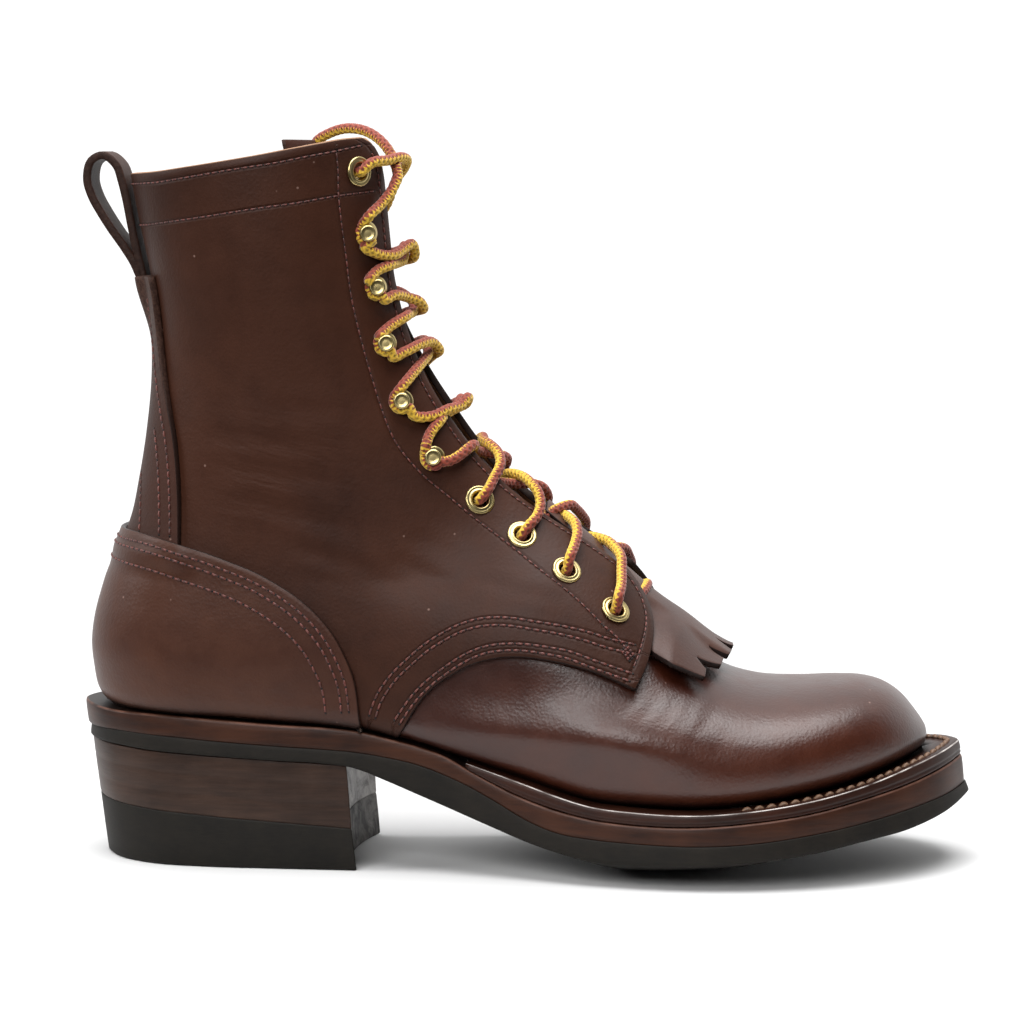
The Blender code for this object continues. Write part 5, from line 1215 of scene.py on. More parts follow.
def heel_ring(height, inset):
    """Outline of the heel at a height, leaning in towards the floor, with a hollow breast."""
    share = 1.0 - height / HEEL_SEAT_BACK
    front = BREAST_X + BREAST_LEAN * share
    outer, inner = outline_halves(SOLE_OUTLINE, 300, HEEL_INSET + HEEL_TAPER * share + inset)
    shares = np.append(np.linspace(0.0, 0.994, HEEL_SIDE_POINTS), 1.0)
    ring = []
    for half in (outer, inner):
        back = half[half[:, 0] < front]
        corner = np.array([(front, np.interp(front, half[:, 0], half[:, 1]))])
        ring.append(along(np.vstack([back, corner]), shares))
    wide, middle = (ring[1][-1, 1] - ring[0][-1, 1]) / 2.0, (ring[1][-1, 1] + ring[0][-1, 1]) / 2.0
    hollow = BREAST_HOLLOW * (1.0 - BREAST_SHARES ** 2)
    breast = np.column_stack([front - inset - hollow, middle + wide * BREAST_SHARES])
    ring[0][-1, 0] -= inset
    ring[1][-1, 0] -= inset
    loop = np.vstack([ring[0], breast, ring[1][:0:-1]])
    loop[:, 0] += (HEEL_BACK + HEEL_BACK_LEAN * share) * np.clip(1.0 - loop[:, 0] / BREAST_X, 0.0, 1.0)
    return loop


def heel_rings(top, bottom, profile):
    """Rings of a heel block between two sloping planes, closed over its top and bottom towards the middle."""
    rings = []
    caps = (0.0, 0.4, 0.75, 0.94)
    steps = [(out, 0.0, profile[0][1]) for out in caps] + [(1.0, *step) for step in profile]
    steps += [(out, 1.0, profile[-1][1]) for out in caps[::-1]]
    for out, share, inset in steps:
        back, slope = (top[k] + (bottom[k] - top[k]) * share for k in range(2))
        loop = HEEL_MIDDLE + (heel_ring(back, inset) - HEEL_MIDDLE) * out
        rings.append(np.column_stack([loop, back - slope * loop[:, 0]]))
    rings = np.array(rings)
    breast = np.zeros(rings.shape[:2])
    breast[:, HEEL_SIDE_POINTS + 1:HEEL_SIDE_POINTS + 1 + len(BREAST_SHARES)] = 1.0
    return rings, breast


def scuffed(material, grey, white):
    """Adds the heel breast's grey, torn look over a finish, by the attribute that marks the breast."""
    tree = material.node_tree
    shader = tree.nodes["Principled BSDF"]
    place = node(tree, "TexCoord", {}).node.outputs["Object"]
    under = shader.inputs["Base Color"].links[0].from_socket
    torn = node(tree, "TexNoise", {"Scale": 1.0 / (10 * MM), "Detail": 6.0, "Roughness": 0.7,
                                   "Distortion": 1.2}, {"Vector": place})
    share = node(tree, "MapRange", {"From Min": 0.4, "From Max": 0.62}, {"Value": torn})
    pale = node(tree, "Mix", {"data_type": "RGBA", 6: linear(grey), 7: linear(white)}, {0: share})
    mark = node(tree, "Attribute", {"attribute_name": "breast"})
    keep = node(tree, "Math", {"operation": "MULTIPLY", 1: 0.8}, {0: mark})
    colour = node(tree, "Mix", {"data_type": "RGBA"}, {0: keep, 6: under, 7: pale})
    tree.links.new(colour, shader.inputs["Base Color"])
    return material


heel_leather = sole_edge_leather("stacked_heel_leather", "261811", "3f2c22", "3f2c22", 0.44, 1.1)
heel_leather = scuffed(heel_leather, "3a302c", "b9b4b0")
lifts_top = HEEL_SEAT_BACK - 2.0 * SOLE_JOINT, HEEL_SEAT_SLOPE
lifts_rings, breast = heel_rings(lifts_top, (TOP_LIFT_BACK + SOLE_JOINT, TOP_LIFT_SLOPE), LIFTS_EDGE)
ring_piece("heel_lifts", lifts_rings, heel_leather, "sole_leather", ["heel_stack"], breast=breast,
           down=np.full(breast.shape, LIFTS_MARK))
heel_rubber = scuffed(black_rubber("black_rubber_top_lift", "0e0b08", "1a1610", 0.64), "2c2826", "8c8884")
lift_rings, breast = heel_rings((TOP_LIFT_BACK, TOP_LIFT_SLOPE), (0.0, 0.0), TOP_LIFT_EDGE)
ring_piece("rubber_top_lift", lift_rings, heel_rubber, "black_rubber", ["heel_top_lift"], breast=breast)


# Seams: waxed thread in a lockstitch, each stitch sunk into two punched holes.
# Rows run along the collar, the eyestay, the flap edges, the wings, the counter and the backstay.
THREAD = 0.42
THREAD_FLATTENED = 1.15
HOLE_ALONG, HOLE_ACROSS = 0.62, 0.46
PIT_LIP, PIT_DEPTH, PIT_TAPER = 0.1, 0.4, 0.6
SEAM_POINTS = 300
RING_SHARES = np.array((0.1, 0.22, 0.4, 0.6, 0.78, 0.9))
HEXAGON = np.linspace(0.0, 2.0 * math.pi, 7)[:-1]


def short_tubes(rings):
    """Quads of many short six-sided tubes with closed ends; the rings run by tube, level and corner."""
    index = np.arange(rings[..., 0].size).reshape(rings.shape[:3])
    beside = np.roll(index, -1, axis=2)
    body = np.stack([index[:, :-1], beside[:, :-1], beside[:, 1:], index[:, 1:]], axis=-1).reshape(-1, 4)
    first, last = index[:, 0], index[:, -1]
    caps = [first[:, [5, 2, 1, 0]], first[:, [5, 4, 3, 2]], last[:, [0, 1, 2, 5]], last[:, [2, 3, 4, 5]]]
    return np.vstack([body, *caps])


def hexagons(one, other):
    """Six corners round a point, spanned by two arms at each place of an array."""
    return one[..., None, :] * np.cos(HEXAGON)[:, None] + other[..., None, :] * np.sin(HEXAGON)[:, None]


def stitched(paths, pitch, thread):
    """Stitches along rows of points with normals: six rings of thread over each span, a pit at each hole."""
    vertices, quads, which = [], [], []
    arch_over = np.sin(math.pi * RING_SHARES)
    girth = (thread * (0.7 + 0.3 * arch_over))[None, :, None, None]
    rise = (thread * (-1.6 + 2.1 * np.sqrt(arch_over)))[None, :, None]
    for points, normals in paths:
        run = chord_lengths(points)
        at = np.linspace(0.0, run[-1], max(int(round(run[-1] / pitch)), 2) + 1)
        spot, out = (np.stack([np.interp(at, run, part[:, k]) for k in range(3)], axis=1)
                     for part in (points, normals))
        out /= np.linalg.norm(out, axis=1)[:, None]
        ahead, up = np.diff(spot, axis=0), (out[1:] + out[:-1]) / 2.0
        wide = np.cross(ahead, up)
        wide /= np.linalg.norm(wide, axis=1)[:, None]
        middle = spot[:-1, None] + ahead[:, None] * RING_SHARES[None, :, None] + up[:, None] * rise
        spans = middle[:, :, None] + girth * hexagons(up, THREAD_FLATTENED * wide)[:, None]
        tangent = np.gradient(spot, axis=0)
        tangent /= np.linalg.norm(tangent, axis=1)[:, None]
        disc = hexagons(HOLE_ALONG * tangent, HOLE_ACROSS * np.cross(tangent, out)) * (thread / THREAD)
        lip, pit = spot[:, None] + out[:, None] * PIT_LIP, spot[:, None] - out[:, None] * PIT_DEPTH
        pits = np.stack([lip + disc, pit + disc * PIT_TAPER], axis=1)
        for finish, rings in enumerate((spans, pits)):
            body = short_tubes(rings)
            quads.append(body + sum(len(part) for part in vertices))
            vertices.append(rings.reshape(-1, 3))
            which.append(np.full(len(body), finish))
    return np.vstack(vertices), np.vstack(quads), np.concatenate(which)


def offset_line(line, away):
    """Side-view line moved to its left by a distance."""
    line = along(line, np.linspace(0.0, 1.0, 200))
    tangent = np.gradient(line, axis=0)
    normal = np.stack([-tangent[:, 1], tangent[:, 0]], axis=1)
    return line + normal / np.linalg.norm(normal, axis=1)[:, None] * away


def on_both(line, height):
    """A side-view line on the quarters of both sides of the boot."""
    x, z = along(line, np.linspace(0.0, 1.0, SEAM_POINTS)).T
    return [on_quarter(x, z, side, np.full(SEAM_POINTS, height)) for side in (LATERAL, MEDIAL)]


def round_back(line, height, over=None):
    """A side-view line from the back line, run round the back, raised where it passes over another piece."""
    x, z = along(line, np.linspace(0.0, 1.0, SEAM_POINTS) ** 2, 2400).T
    x[0] = column(SHAFT_LEVELS, 1, z[0])
    height = np.full(SEAM_POINTS, height) + (over(x, z) if over else 0.0)
    outer, inner = (on_quarter(x, z, side, height) for side in (LATERAL, MEDIAL))
    return [tuple(np.vstack([a[::-1], b[1:]]) for a, b in zip(outer, inner))]


# Waxed polyester thread: twisted, reddish brown, with a soft sheen on each turn.
waxed_thread, tree, shader, place = new_finish("waxed_thread_red_brown", 0.5)
twist = node(tree, "TexWave", {"Scale": 1.0 / (6.0 * MM), "Distortion": 2.0}, {"Vector": place})
tone = node(tree, "Mix", {"data_type": "RGBA", 6: linear("42201a"), 7: linear("66332b")}, {0: twist})
tree.links.new(tone, shader.inputs["Base Color"])

# Punched stitch hole: painted shade inside each hole, near black.
stitch_hole_shade, tree, shader, place = new_finish("stitch_hole_painted_shade", 0.8)
pit = node(tree, "TexNoise", {"Scale": 1.0 / (0.6 * MM)}, {"Vector": place})
tone = node(tree, "Mix", {"data_type": "RGBA", 6: linear("0c0706"), 7: linear("1c100c")}, {0: pit})
tree.links.new(tone, shader.inputs["Base Color"])

flap_rows = []
for grid, normal in ((quarter_outer, quarter_normal), (quarter_outer[:, ::-1], quarter_normal[:, ::-1])):
    run = run_in(grid)
    flap_rows.append(tuple(row_inside(part, run, FLAP_ROW)[3:-3] for part in (grid, normal)))

# The counter's rows: height at the back line, distance inside the counter's edge.
COUNTER_SEAMS = ((109.9, 2.9), (107.5, 5.6), (102.6, 11.2))
counter_rows = [np.vstack([back_point(np.array([back]))[0], offset_line(COUNTER_EDGE, -inset)[6:-12:9]])
                for back, inset in COUNTER_SEAMS]
WING_PAIRS = ((WING_SEAM_HIGH, PAIR_HIGH), (WING_SEAM_LOW, PAIR_LOW))
wing_rows = [offset_line(line, away) for line, pair in WING_PAIRS for away in (-pair, pair)]

# The backstay's rows: distance inside its edge, first and last step along it.
BACKSTAY_SEAMS = ((2.5, 14, -14), (6.2, 14, 92), (13.6, 14, 58))
stay_rows = [offset_line(BACKSTAY_EDGE, inset)[first:last] for inset, first, last in BACKSTAY_SEAMS]
BARTACK = np.array([(190.9, 76.4), (192.2, 75.0), (193.5, 73.6)])
WING_TIP_SEAM = np.array([(183.6, 83.4), (186.4, 81.2), (189.4, 78.6), (191.6, 76.2)])
bartack_rows = [offset_line(BARTACK, away) for away in (-0.8, 0.0, 0.8)]
on_counter, on_stay = COUNTER_LEATHER + GAP, BACKSTAY_LEATHER + GAP

# Seams by name: length of a stitch, half thickness of the thread, rows.
SEAM_ROWS = {
    "seams_collar": (2.6, 0.28, round_back(COLLAR_SEAM, 0.0) + round_back(BAND_SEAM, 0.0)),
    "seams_eyestay": (2.6, 0.28, on_both(EYESTAY_SEAM, 0.0) + flap_rows),
    "seams_wing": (2.9, 0.36, sum((on_both(row, 0.0) for row in wing_rows), [])),
    "seams_counter": (2.9, 0.36, sum((round_back(row, on_counter, over_stay) for row in counter_rows), [])),
    "seams_bartack": (1.3, 0.5, sum((on_both(row, 0.1) for row in bartack_rows), [])),
    "seams_wing_tip": (2.4, 0.34, on_both(WING_TIP_SEAM, 0.0)),
    "seams_backstay": (2.8, 0.34, sum((on_both(row, on_stay) for row in stay_rows), [])),
}
for name, (pitch, thread, paths) in SEAM_ROWS.items():
    vertices, quads, which = stitched(paths, pitch, thread)
    boot_piece(name, vertices, quads, [waxed_thread, stitch_hole_shade], (), None, which)

# Waxed welt thread: thicker and paler than the upper's, its turns worn to light tan.
WELT_STITCH, WELT_THREAD, WELT_SEAM_INSET, WELT_SEAM_FROM = 4.2, 0.85, 5.2, 232.0
welt_thread, tree, shader, place = new_finish("waxed_welt_thread_tan", 0.55)
twist = node(tree, "TexNoise", {"Scale": 1.0 / (1.2 * MM), "Detail": 3.0}, {"Vector": place})
tone = node(tree, "Mix", {"data_type": "RGBA", 6: linear("4a3022"), 7: linear("80624a")}, {0: twist})
tree.links.new(tone, shader.inputs["Base Color"])
line = welt_ring(WELT_SEAM_INSET, WELT_LEAN[0], WELT_SEAM_FROM)
line = np.column_stack([line, seat_z(line[:, 0]) - 0.1])
upright = np.tile((0.0, 0.0, 1.0), (len(line), 1))
vertices, quads, which = stitched([(line, upright)], WELT_STITCH, WELT_THREAD)
boot_piece("welt_stitching", vertices, quads, [welt_thread, stitch_hole_shade], (), None, which)


# Eyelets and hooks: stamped and lacquered brass. Eyelets are rolled over the flap in its four lower rows and
# its top row. Hooks stand on round bases, riveted through.
def turned_parts(profile, closed, places, steps=40):
    """Brass turned from a profile of radius and height round each place's normal."""
    angle = np.linspace(0.0, 2.0 * math.pi, steps + 1)[:-1]
    vertices, quads = [], []
    for point, normal, _, throat in places:
        beam = np.cross(normal, throat)
        arm = throat * np.cos(angle)[:, None] + beam * np.sin(angle)[:, None]
        rings = point + arm[None] * profile[:, 0][:, None, None] + normal * profile[:, 1][:, None, None]
        quads.append(ring_quads(len(profile), steps, closed) + sum(len(v) for v in vertices))
        vertices.append(rings.reshape(-1, 3))
    return np.vstack(vertices), np.vstack(quads)


EYELET_PROFILE = np.array([
    (2.7, 0.2), (2.8, 0.7), (3.1, 1.0), (3.45, 1.05), (3.8, 0.86), (4.2, 0.8), (4.6, 0.95), (4.95, 0.8),
    (5.15, 0.35), (5.1, 0.0), (4.6, -0.05), (3.1, -0.05), (3.05, -2.2), (2.7, -2.2),
])
HOOK_BASE = np.array([(0.0, 0.0), (3.9, 0.0), (3.95, 0.3), (3.8, 0.6), (3.3, 0.75), (1.9, 0.85), (0.0, 0.85)])
HOOK_POST = np.array([
    (0.0, 0.0), (1.3, 0.0), (1.15, 1.4), (1.1, 3.3), (1.25, 4.0), (2.2, 4.3), (2.7, 4.6), (2.85, 4.95),
    (2.72, 5.3), (2.42, 5.5), (2.1, 5.52), (1.9, 5.4), (1.0, 5.44), (0.0, 5.46),
])
HOOK_SET = np.array((0.1, 1.0, 0.3))


def hook_frame(row, side):
    """A lacing row's place with its axis turned out to the side of the boot, as a hook's post stands."""
    point, normal, up, throat = lacing_frame(row, side)
    axis = normal * HOOK_SET
    axis /= np.linalg.norm(axis)
    up = up - axis * np.dot(up, axis)
    up /= np.linalg.norm(up)
    ahead = np.cross(axis, up)
    return point, axis, up, ahead * math.copysign(1.0, np.dot(ahead, throat))


# Lacquered brass: warm yellow metal, bright on its rolled rims, dulled by handling.
brass, tree, shader, place = new_finish("lacquered_brass", 0.24, Metallic=1.0)
haze = node(tree, "TexNoise", {"Scale": 1.0 / (5.0 * MM), "Detail": 2.0}, {"Vector": place})
tone = node(tree, "Mix", {"data_type": "RGBA", 6: linear("b8a46c"), 7: linear("cdbb88")}, {0: haze})
worn = node(tree, "MapRange", {"To Min": 0.24, "To Max": 0.34}, {"Value": haze})
tree.links.new(tone, shader.inputs["Base Color"])
tree.links.new(worn, shader.inputs["Roughness"])

HOOK_ROWS = [row for row in range(len(LACING_ROWS)) if row not in EYELET_ROWS]
SIDE_NAMES = {LATERAL: "lateral", MEDIAL: "medial"}


def row_names(kind, rows):
    """Names of the nodes of one kind of hardware, row by row on the two flaps."""
    return [f"{kind}_{name}_{k + 1}" for k in range(len(rows)) for name in SIDE_NAMES.values()]


eyelet_places = [lacing_frame(row, side) for row in EYELET_ROWS for side in SIDE_NAMES]
hook_places = [hook_frame(row, side) for row in HOOK_ROWS for side in SIDE_NAMES]
base_places = [lacing_frame(row, side) for row in HOOK_ROWS for side in SIDE_NAMES]
vertices, quads = turned_parts(EYELET_PROFILE, True, eyelet_places)
boot_piece("brass_eyelets", vertices, quads, [brass], row_names("eyelet", EYELET_ROWS))
posts = turned_parts(HOOK_POST, False, hook_places)
bases = turned_parts(HOOK_BASE, False, base_places)
vertices, quads = np.vstack([posts[0], bases[0]]), np.vstack([posts[1], bases[1] + len(posts[0])])
boot_piece("brass_hooks", vertices, quads, [brass], row_names("hook", HOOK_ROWS), merge=True)


# Lace: one round braid, half yellow and half rust, run from the toe up through four eyelets and round five
# hooks. One end goes in at the outer top eyelet; the other goes over the collar to the inner top eyelet.
LACE_RADIUS = 1.85
BRAID_DEPTH, BRAID_PITCH, BRAID_ENDS = 0.32, 2.4, 4
NECK_HEIGHT, NECK_REACH = 2.4, 2.9
RING_STEP, LACE_SIDES = 0.4, 24
YELLOW_LOW, YELLOW_HIGH = np.array((-1.0, 0.35, 0.2)), np.array((0.4, -0.1, -0.9))
INSTEP_OUT, FRONT_OUT = np.array((0.69, 0.0, 0.72)), np.array((0.95, 0.0, 0.3))

# For each lower eyelet of the outer flap: how far over its strand the partner runs, then the strand: x, y, z.
EYELET_STRANDS = (
    (-4.2, ((190.2, -35.1, 95.8), (190.8, -28.5, 99.4), (190.4, -21.0, 102.8), (189.2, -13.0, 106.3),
            (187.3, -6.0, 109.2), (184.7, -1.0, 110.8), (181.5, 3.0, 111.4), (178.2, 7.0, 111.5),
            (175.2, 11.0, 110.6))),
    (4.0, ((173.4, -31.3, 108.4), (174.6, -25.5, 112.2), (175.1, -19.0, 115.5), (173.9, -13.0, 118.1),
           (171.6, -7.0, 119.5), (168.5, -1.0, 120.3), (165.5, 4.0, 120.1), (161.8, 10.0, 119.0))),
    (-4.0, ((158.8, -24.5, 118.5), (161.3, -20.1, 121.4), (162.2, -15.4, 125.0), (161.2, -11.5, 128.5),
            (158.4, -7.0, 131.3), (154.9, -1.0, 133.1), (151.4, 4.0, 133.6), (147.4, 10.0, 132.6))),
    (-3.9, ((143.9, -22.7, 129.3), (146.4, -18.0, 134.1), (147.9, -12.5, 138.0), (146.7, -6.0, 141.9),
            (143.1, 0.0, 144.3), (140.4, 6.0, 144.8), (136.8, 13.5, 143.6), (130.1, 26.2, 140.4))),
)

# Strands of the outer flap's hooks, row by row: leaving four of them for the middle, then arriving: x, y, z.
HOOK_LEAVE = (
    ((124.1, -27.0, 145.4), (124.7, -24.0, 149.1), (126.4, -18.0, 152.9), (129.4, -10.0, 155.5),
     (132.8, -4.0, 157.4)),
    ((114.9, -27.0, 164.5), (118.0, -20.0, 169.5), (122.2, -9.0, 174.3), (123.7, -1.0, 176.4)),
    ((108.3, -27.0, 182.8), (110.0, -22.0, 185.6), (113.4, -14.0, 188.4), (117.1, -6.0, 190.0),
     (118.4, 0.0, 190.9)),
    ((104.9, -27.0, 201.8), (106.3, -23.0, 204.7), (109.1, -17.0, 206.5), (112.8, -9.0, 207.4),
     (115.1, -3.0, 208.6)),
)
HOOK_ARRIVE = (
    ((134.4, -4.0, 160.2), (133.2, -8.0, 158.1), (128.3, -14.0, 156.2), (123.5, -20.0, 154.6),
     (119.3, -25.0, 156.2)),
    ((122.4, -4.0, 179.2), (118.6, -12.0, 178.8), (114.7, -19.0, 176.9), (111.8, -24.0, 176.0)),
    ((117.7, -4.0, 193.4), (115.1, -9.0, 195.2), (111.5, -18.0, 196.4), (109.2, -24.0, 195.8)),
    ((114.9, -3.0, 213.1), (113.5, -8.0, 211.7), (109.5, -14.0, 209.9), (105.0, -22.0, 210.9),
     (102.6, -26.0, 213.3)),
)
FIRST_HOOK, LAST_HOOK = 4, 8
CROSS_OVER = 1.9
HOOK_TURNS = np.radians((-70.0, -110.0, -150.0, 170.0, 130.0))
TURN_HEIGHTS = (138.0, 152.0)
FLAP_FROM, FLAP_NEAR = 12.0, 7.0
LOOSE_RINGS = 500
TOE_BAR = ((197.2, -8.0, 94.6), (198.0, 1.5, 95.6), (197.2, 11.0, 94.6))

# The end that leaves the outer flap's top hook, over the collar and down to the inner flap's top eyelet.
LACE_END = (
    (104.8, -27.0, 223.2), (108.6, -21.5, 227.6), (111.8, -17.0, 232.6), (113.2, -14.0, 236.9),
    (112.2, -12.0, 240.6), (110.4, -10.0, 244.3), (106.7, -7.0, 248.7), (101.0, -3.0, 252.1),
    (94.4, 1.0, 253.2), (87.0, 6.0, 251.6), (81.6, 10.0, 248.4), (80.6, 14.0, 244.4), (84.4, 18.0, 240.6),
    (90.0, 20.5, 238.4),
)
TO_TOP_EYELET = (
    (109.6, 12.0, 236.0), (113.0, 5.0, 239.6), (114.7, -1.0, 242.2), (113.9, -7.5, 243.2),
    (110.2, -16.5, 242.2), (104.6, -24.9, 240.6),
)

flap_points, flap_normals = quarter_outer.reshape(-1, 3), quarter_normal.reshape(-1, 3)


def laid(points):
    """Lace points moved out where needed to lie on the flap that they pass over."""
    laid_out = []
    for point in np.asarray(points, float):
        off = flap_points - point
        k = np.argmin(np.sum(off * off, axis=1))
        short = LACE_RADIUS + np.dot(off[k], flap_normals[k])
        over = abs(point[1] - axis_y(point[0])) > FLAP_FROM and np.linalg.norm(off[k]) < FLAP_NEAR
        laid_out.append(point + flap_normals[k] * max(short, 0.0) if over else point)
    return laid_out


def to_side(points, side, lift=0.0, away=INSTEP_OUT):
    """Points of a strand that leaves the outer flap, mirrored for the inner one, raised where they cross."""
    points = np.array(points, float)
    middle = axis_y(points[:, 0])
    crossing = np.exp(-((points[:, 1] - middle) / 9.0) ** 2)[:, None]
    if side == MEDIAL:
        points[:, 1] = 2.0 * middle - points[:, 1]
    inner = smooth_step(4.0, 20.0, points[:, 1])
    points[:, 0] -= INNER_FLAP_BACK * smooth_step(*DRAWN_HEIGHTS, points[:, 2]) * inner
    return laid(points + crossing * lift * np.asarray(away))


def at_eyelet(row, side):
    """Lace coming from under the flap and out through an eyelet."""
    point, normal, _, throat = lacing_frame(row, side)
    return [point - normal * 4.8 + throat * 5.0, point - normal * 3.0 + throat * 0.6, point + normal * 0.6]


def at_hook(row, side):
    """Lace round the back of a hook's neck, from below to above."""
    point, axis, up, ahead = hook_frame(row, side)
    neck = point + axis * NECK_HEIGHT
    return [neck + NECK_REACH * (ahead * math.cos(a) + up * math.sin(a)) for a in HOOK_TURNS]


def hook_strand(row, side):
    """Lace from a hook of one side to the next hook of the other, the outer flap's strand passing behind."""
    over = -CROSS_OVER if side == LATERAL else CROSS_OVER
    leave, arrive = HOOK_LEAVE[row - FIRST_HOOK], HOOK_ARRIVE[row - FIRST_HOOK]
    return to_side(leave, side, over, FRONT_OUT) + to_side(arrive, -side, over, FRONT_OUT)


def half_lacing(side):
    """One half of the lace, from its bottom eyelet up to its last hook."""
    points = at_eyelet(0, side)
    for row in range(LAST_HOOK):
        if row < len(EYELET_STRANDS):
            partner, strand = EYELET_STRANDS[row]
            points += to_side(strand, side, partner if side == MEDIAL else 0.0)
        else:
            points += hook_strand(row, side)
        side = -side
        points += at_eyelet(row + 1, side) if row + 1 in EYELET_ROWS else at_hook(row + 1, side)
    return points


first_half, second_half = half_lacing(LATERAL), half_lacing(MEDIAL)
top_step = LACING_ROWS[LAST_HOOK] - LACING_ROWS[LAST_HOOK - 1]
top_leave = to_side([(x + top_step[0], y, z + top_step[1]) for x, y, z in HOOK_LEAVE[-1][:3]], MEDIAL)
point, normal, _, throat = lacing_frame(TOP_ROW, LATERAL)
into_eyelet = [point + normal * 1.2 + throat * 0.6, point - normal * 2.0, point - normal * 4.6 - throat * 2.0,
               point - normal * 5.2 - throat * 6.0]
inner_top = lacing_frame(TOP_ROW, MEDIAL)
behind_top = inner_top[0] - inner_top[1] * 5.0 + inner_top[3] * 1.0
loose_end = [*laid(LACE_END[:2]), *np.array(LACE_END[2:]), behind_top]
route = np.array([*loose_end[::-1], *first_half[::-1], *TOE_BAR, *second_half, *top_leave, *TO_TOP_EYELET,
                  *into_eyelet])


def braided(path):
    """Round braid along a path: rings square to it that swell where yarns cross, yellow on one side."""
    tangent = np.gradient(path, axis=0)
    tangent /= np.linalg.norm(tangent, axis=1)[:, None]
    across = [np.cross(tangent[0], (0.3, 0.2, 1.0))]
    for ahead in tangent[1:]:
        moved = across[-1] - ahead * np.dot(across[-1], ahead)
        across.append(moved / np.linalg.norm(moved))
    across = np.array(across)
    across /= np.linalg.norm(across, axis=1)[:, None]
    beam = np.cross(tangent, across)
    run = chord_lengths(path)[:, None]
    angle = np.linspace(0.0, 2.0 * math.pi, LACE_SIDES + 1)[None, :-1]
    beat = 2.0 * math.pi * run / BRAID_PITCH
    yarn = np.maximum(np.cos(BRAID_ENDS * angle + beat), np.cos(BRAID_ENDS * angle - beat))
    radius = LACE_RADIUS - BRAID_DEPTH + BRAID_DEPTH * yarn
    arm = across[:, None] * np.cos(angle)[..., None] + beam[:, None] * np.sin(angle)[..., None]
    rings = path[:, None] + radius[..., None] * arm
    lean = smooth_step(*TURN_HEIGHTS, path[:, 2])[:, None]
    yellow_side = YELLOW_LOW * (1.0 - lean) + YELLOW_HIGH * lean
    share = np.sum(arm * yellow_side[:, None], axis=2)
    cover = np.stack([share, 0.5 + 0.5 * yarn, run + 0.0 * angle], axis=-1)
    return rings, cover


lace_run = chord_lengths(route)
fine = smooth_through(np.linspace(0.0, lace_run[-1], 6000), lace_run, route)
fine_run = chord_lengths(fine)
lace_at = np.linspace(0.0, fine_run[-1], int(fine_run[-1] / RING_STEP))
lace_path = np.stack([np.interp(lace_at, fine_run, fine[:, k]) for k in range(3)], axis=1)
lace_rings, lace_cover = braided(lace_path)
cut = int(np.argmin(np.linalg.norm(lace_path[:LOOSE_RINGS] - first_half[-1], axis=1)))

# Braided polyester cord: yellow on one side and rust on the other, the yarns meeting in a fine zigzag.
braid, tree, shader, place = new_finish("braided_polyester_cord", 0.72, Sheen_Weight=0.25)
cover = node(tree, "Attribute", {"attribute_name": "cover"})
parts = node(tree, "SeparateXYZ", {}, {0: cover.node.outputs["Vector"]})
beat = node(tree, "Math", {"operation": "PINGPONG", 1: 0.6}, {0: parts.node.outputs["Z"]})
zigzag = node(tree, "Math", {"operation": "MULTIPLY_ADD", 1: 1.2, 2: -0.36}, {0: beat})
side_share = node(tree, "Math", {"operation": "ADD"}, {0: parts.node.outputs["X"], 1: zigzag})
colour_share = node(tree, "MapRange", {"From Min": -0.12, "From Max": 0.12}, {"Value": side_share})
fuzz = node(tree, "TexNoise", {"Scale": 1.0 / (0.8 * MM), "Detail": 3.0}, {"Vector": place})
yellow = node(tree, "Mix", {"data_type": "RGBA", 6: linear("c9961c"), 7: linear("f0cb3c")}, {0: fuzz})
rust = node(tree, "Mix", {"data_type": "RGBA", 6: linear("6c2212"), 7: linear("9c4024")}, {0: fuzz})
tone = node(tree, "Mix", {"data_type": "RGBA"}, {0: colour_share, 6: rust, 7: yellow})
weave = node(tree, "Bump", {"Strength": 0.5, "Distance": 0.15 * MM}, {"Height": fuzz})
# Painted shade: the low grooves between the yarns darkened towards dark brown.
braid_groove_shade = node(tree, "MapRange", {"From Min": 0.75, "From Max": 0.3, "To Max": 0.5},
              {"Value": parts.node.outputs["Y"]})
tone = node(tree, "Mix", {"data_type": "RGBA", 7: linear("2c1408")}, {0: braid_groove_shade, 6: tone})
tree.links.new(tone, shader.inputs["Base Color"])
tree.links.new(weave, shader.inputs["Normal"])


def lace_piece(name, part, nodes):
    """A length of the braid as a closed tube, its cut ends gathered to a point."""
    rings, cover, path = lace_rings[part], lace_cover[part], lace_path[part]
    ends = np.repeat(path[[0, -1]][:, None], LACE_SIDES, axis=1)
    rings = np.concatenate([ends[:1], rings, ends[1:]])
    cover = np.concatenate([cover[:1], cover, cover[-1:]])
    return ring_piece(name, rings, braid, "lace_cord", nodes, cover=cover)


lace_piece("lace_lacing", slice(cut, None), [f"lace_crossing_{k + 1}" for k in range(9)])
lace_end = lace_piece("lace_loose_end", slice(0, cut + 1), ["lace_end"])


# Studio: a plain white sweep, a soft box overhead, and smaller ones at the camera's side and at the heel.
# The air is white behind the boot and falls to dark on the camera's side.
CAMERA_PLACE = (0.09826, -1.12470, 0.244)
CAMERA_TURN = (math.radians(90.0 - 6.23), 0.0, math.radians(5.2))
SENSOR_WIDTH, FOCAL_PIXELS, PICTURE_PIXELS = 36.0, 3270.0, 1024.0
FLOOR_SIDE, FLOOR_FRONT, FLOOR_BACK, FLOOR_HEIGHT = 0.5, -0.17, 0.5, -0.0002

# Soft boxes: place, the point that each faces, width, depth, watts.
SOFT_BOXES = {
    "box_overhead": ((0.05, -0.15, 1.3), (0.05, -0.02, 0.0), 1.1, 1.1, 28.0),
    "box_camera_side": ((-0.28, -1.08, 0.72), (0.0, 0.0, 0.07), 0.75, 0.55, 9.6),
    "box_heel_side": ((-1.3, -0.25, 0.75), (-0.05, 0.0, 0.12), 0.6, 0.6, 8.0),
}

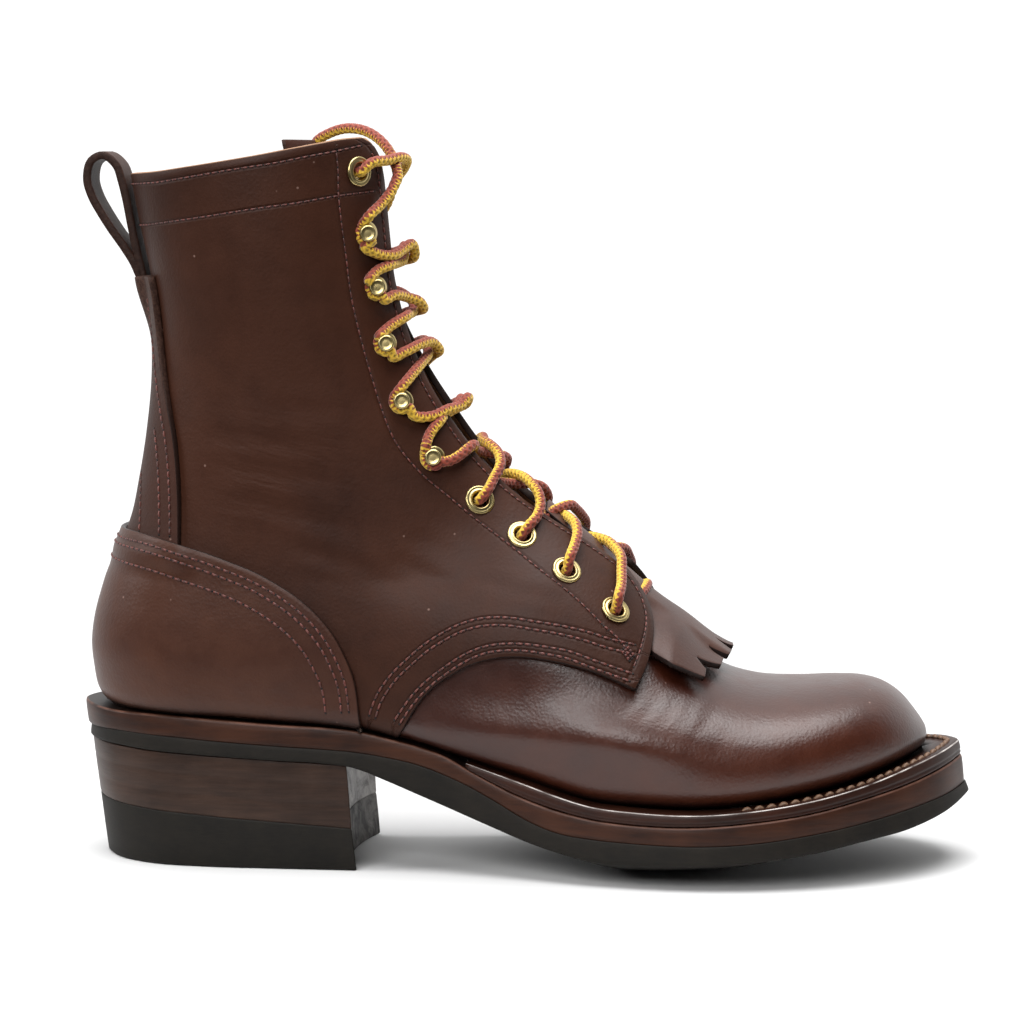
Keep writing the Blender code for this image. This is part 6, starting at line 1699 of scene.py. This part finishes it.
floor_plan = ((-FLOOR_SIDE, FLOOR_FRONT), (FLOOR_SIDE, FLOOR_FRONT), (FLOOR_SIDE, FLOOR_BACK),
              (-FLOOR_SIDE, FLOOR_BACK))
floor_mesh = bpy.data.meshes.new("studio_floor")
floor_mesh.from_pydata([(x, y, FLOOR_HEIGHT) for x, y in floor_plan], [], [(0, 1, 2, 3)])
floor = bpy.data.objects.new("studio_floor", floor_mesh)
bpy.context.scene.collection.objects.link(floor)

# White paper sweep: matt and nearly even.
paper, tree, shader, place = new_finish("white_paper_sweep", 0.9)
fleck = node(tree, "TexNoise", {"Scale": 3.0}, {"Vector": place})
tone = node(tree, "Mix", {"data_type": "RGBA", 6: linear("d6d6d6"), 7: linear("dadada")}, {0: fleck})
tree.links.new(tone, shader.inputs["Base Color"])
floor_mesh.materials.append(paper)


def soft_box(name, place, aim, wide, deep, power):
    """A rectangular area light that faces a point."""
    lamp = bpy.data.lights.new(name, "AREA")
    lamp.shape = "RECTANGLE"
    lamp.size, lamp.size_y = wide, deep
    lamp.energy = power
    box = bpy.data.objects.new(name, lamp)
    box.location = place
    reach = np.array(aim, float) - np.array(place, float)
    flat = math.hypot(reach[0], reach[1])
    box.rotation_euler = (math.atan2(flat, -reach[2]), 0.0, math.atan2(reach[0], -reach[1]) + math.pi)
    bpy.context.scene.collection.objects.link(box)


for name, settings in SOFT_BOXES.items():
    soft_box(name, *settings)

# The air round the set: white behind the boot, falling to dark on the camera's side.
world = bpy.data.worlds.new("studio_air")
world.use_nodes = True
tree = world.node_tree
aim = node(tree, "TexCoord", {}).node.outputs["Generated"]
parts = node(tree, "SeparateXYZ", {}, {0: aim})
white = node(tree, "MapRange", {"interpolation_type": "SMOOTHSTEP", "From Min": -0.1, "From Max": 0.5,
                                "To Min": 0.05, "To Max": 1.15}, {"Value": parts.node.outputs["Y"]})
tree.links.new(white, tree.nodes["Background"].inputs["Strength"])
tree.nodes["Background"].inputs["Color"].default_value = (1.0, 1.0, 1.0, 1.0)
bpy.context.scene.world = world
bpy.context.scene.view_settings.view_transform = "Standard"

eye = bpy.data.cameras.new("camera")
eye.sensor_width = SENSOR_WIDTH
eye.lens = SENSOR_WIDTH * FOCAL_PIXELS / PICTURE_PIXELS
camera = bpy.data.objects.new("camera", eye)
camera.location = CAMERA_PLACE
camera.rotation_euler = CAMERA_TURN
bpy.context.scene.collection.objects.link(camera)
bpy.context.scene.camera = camera
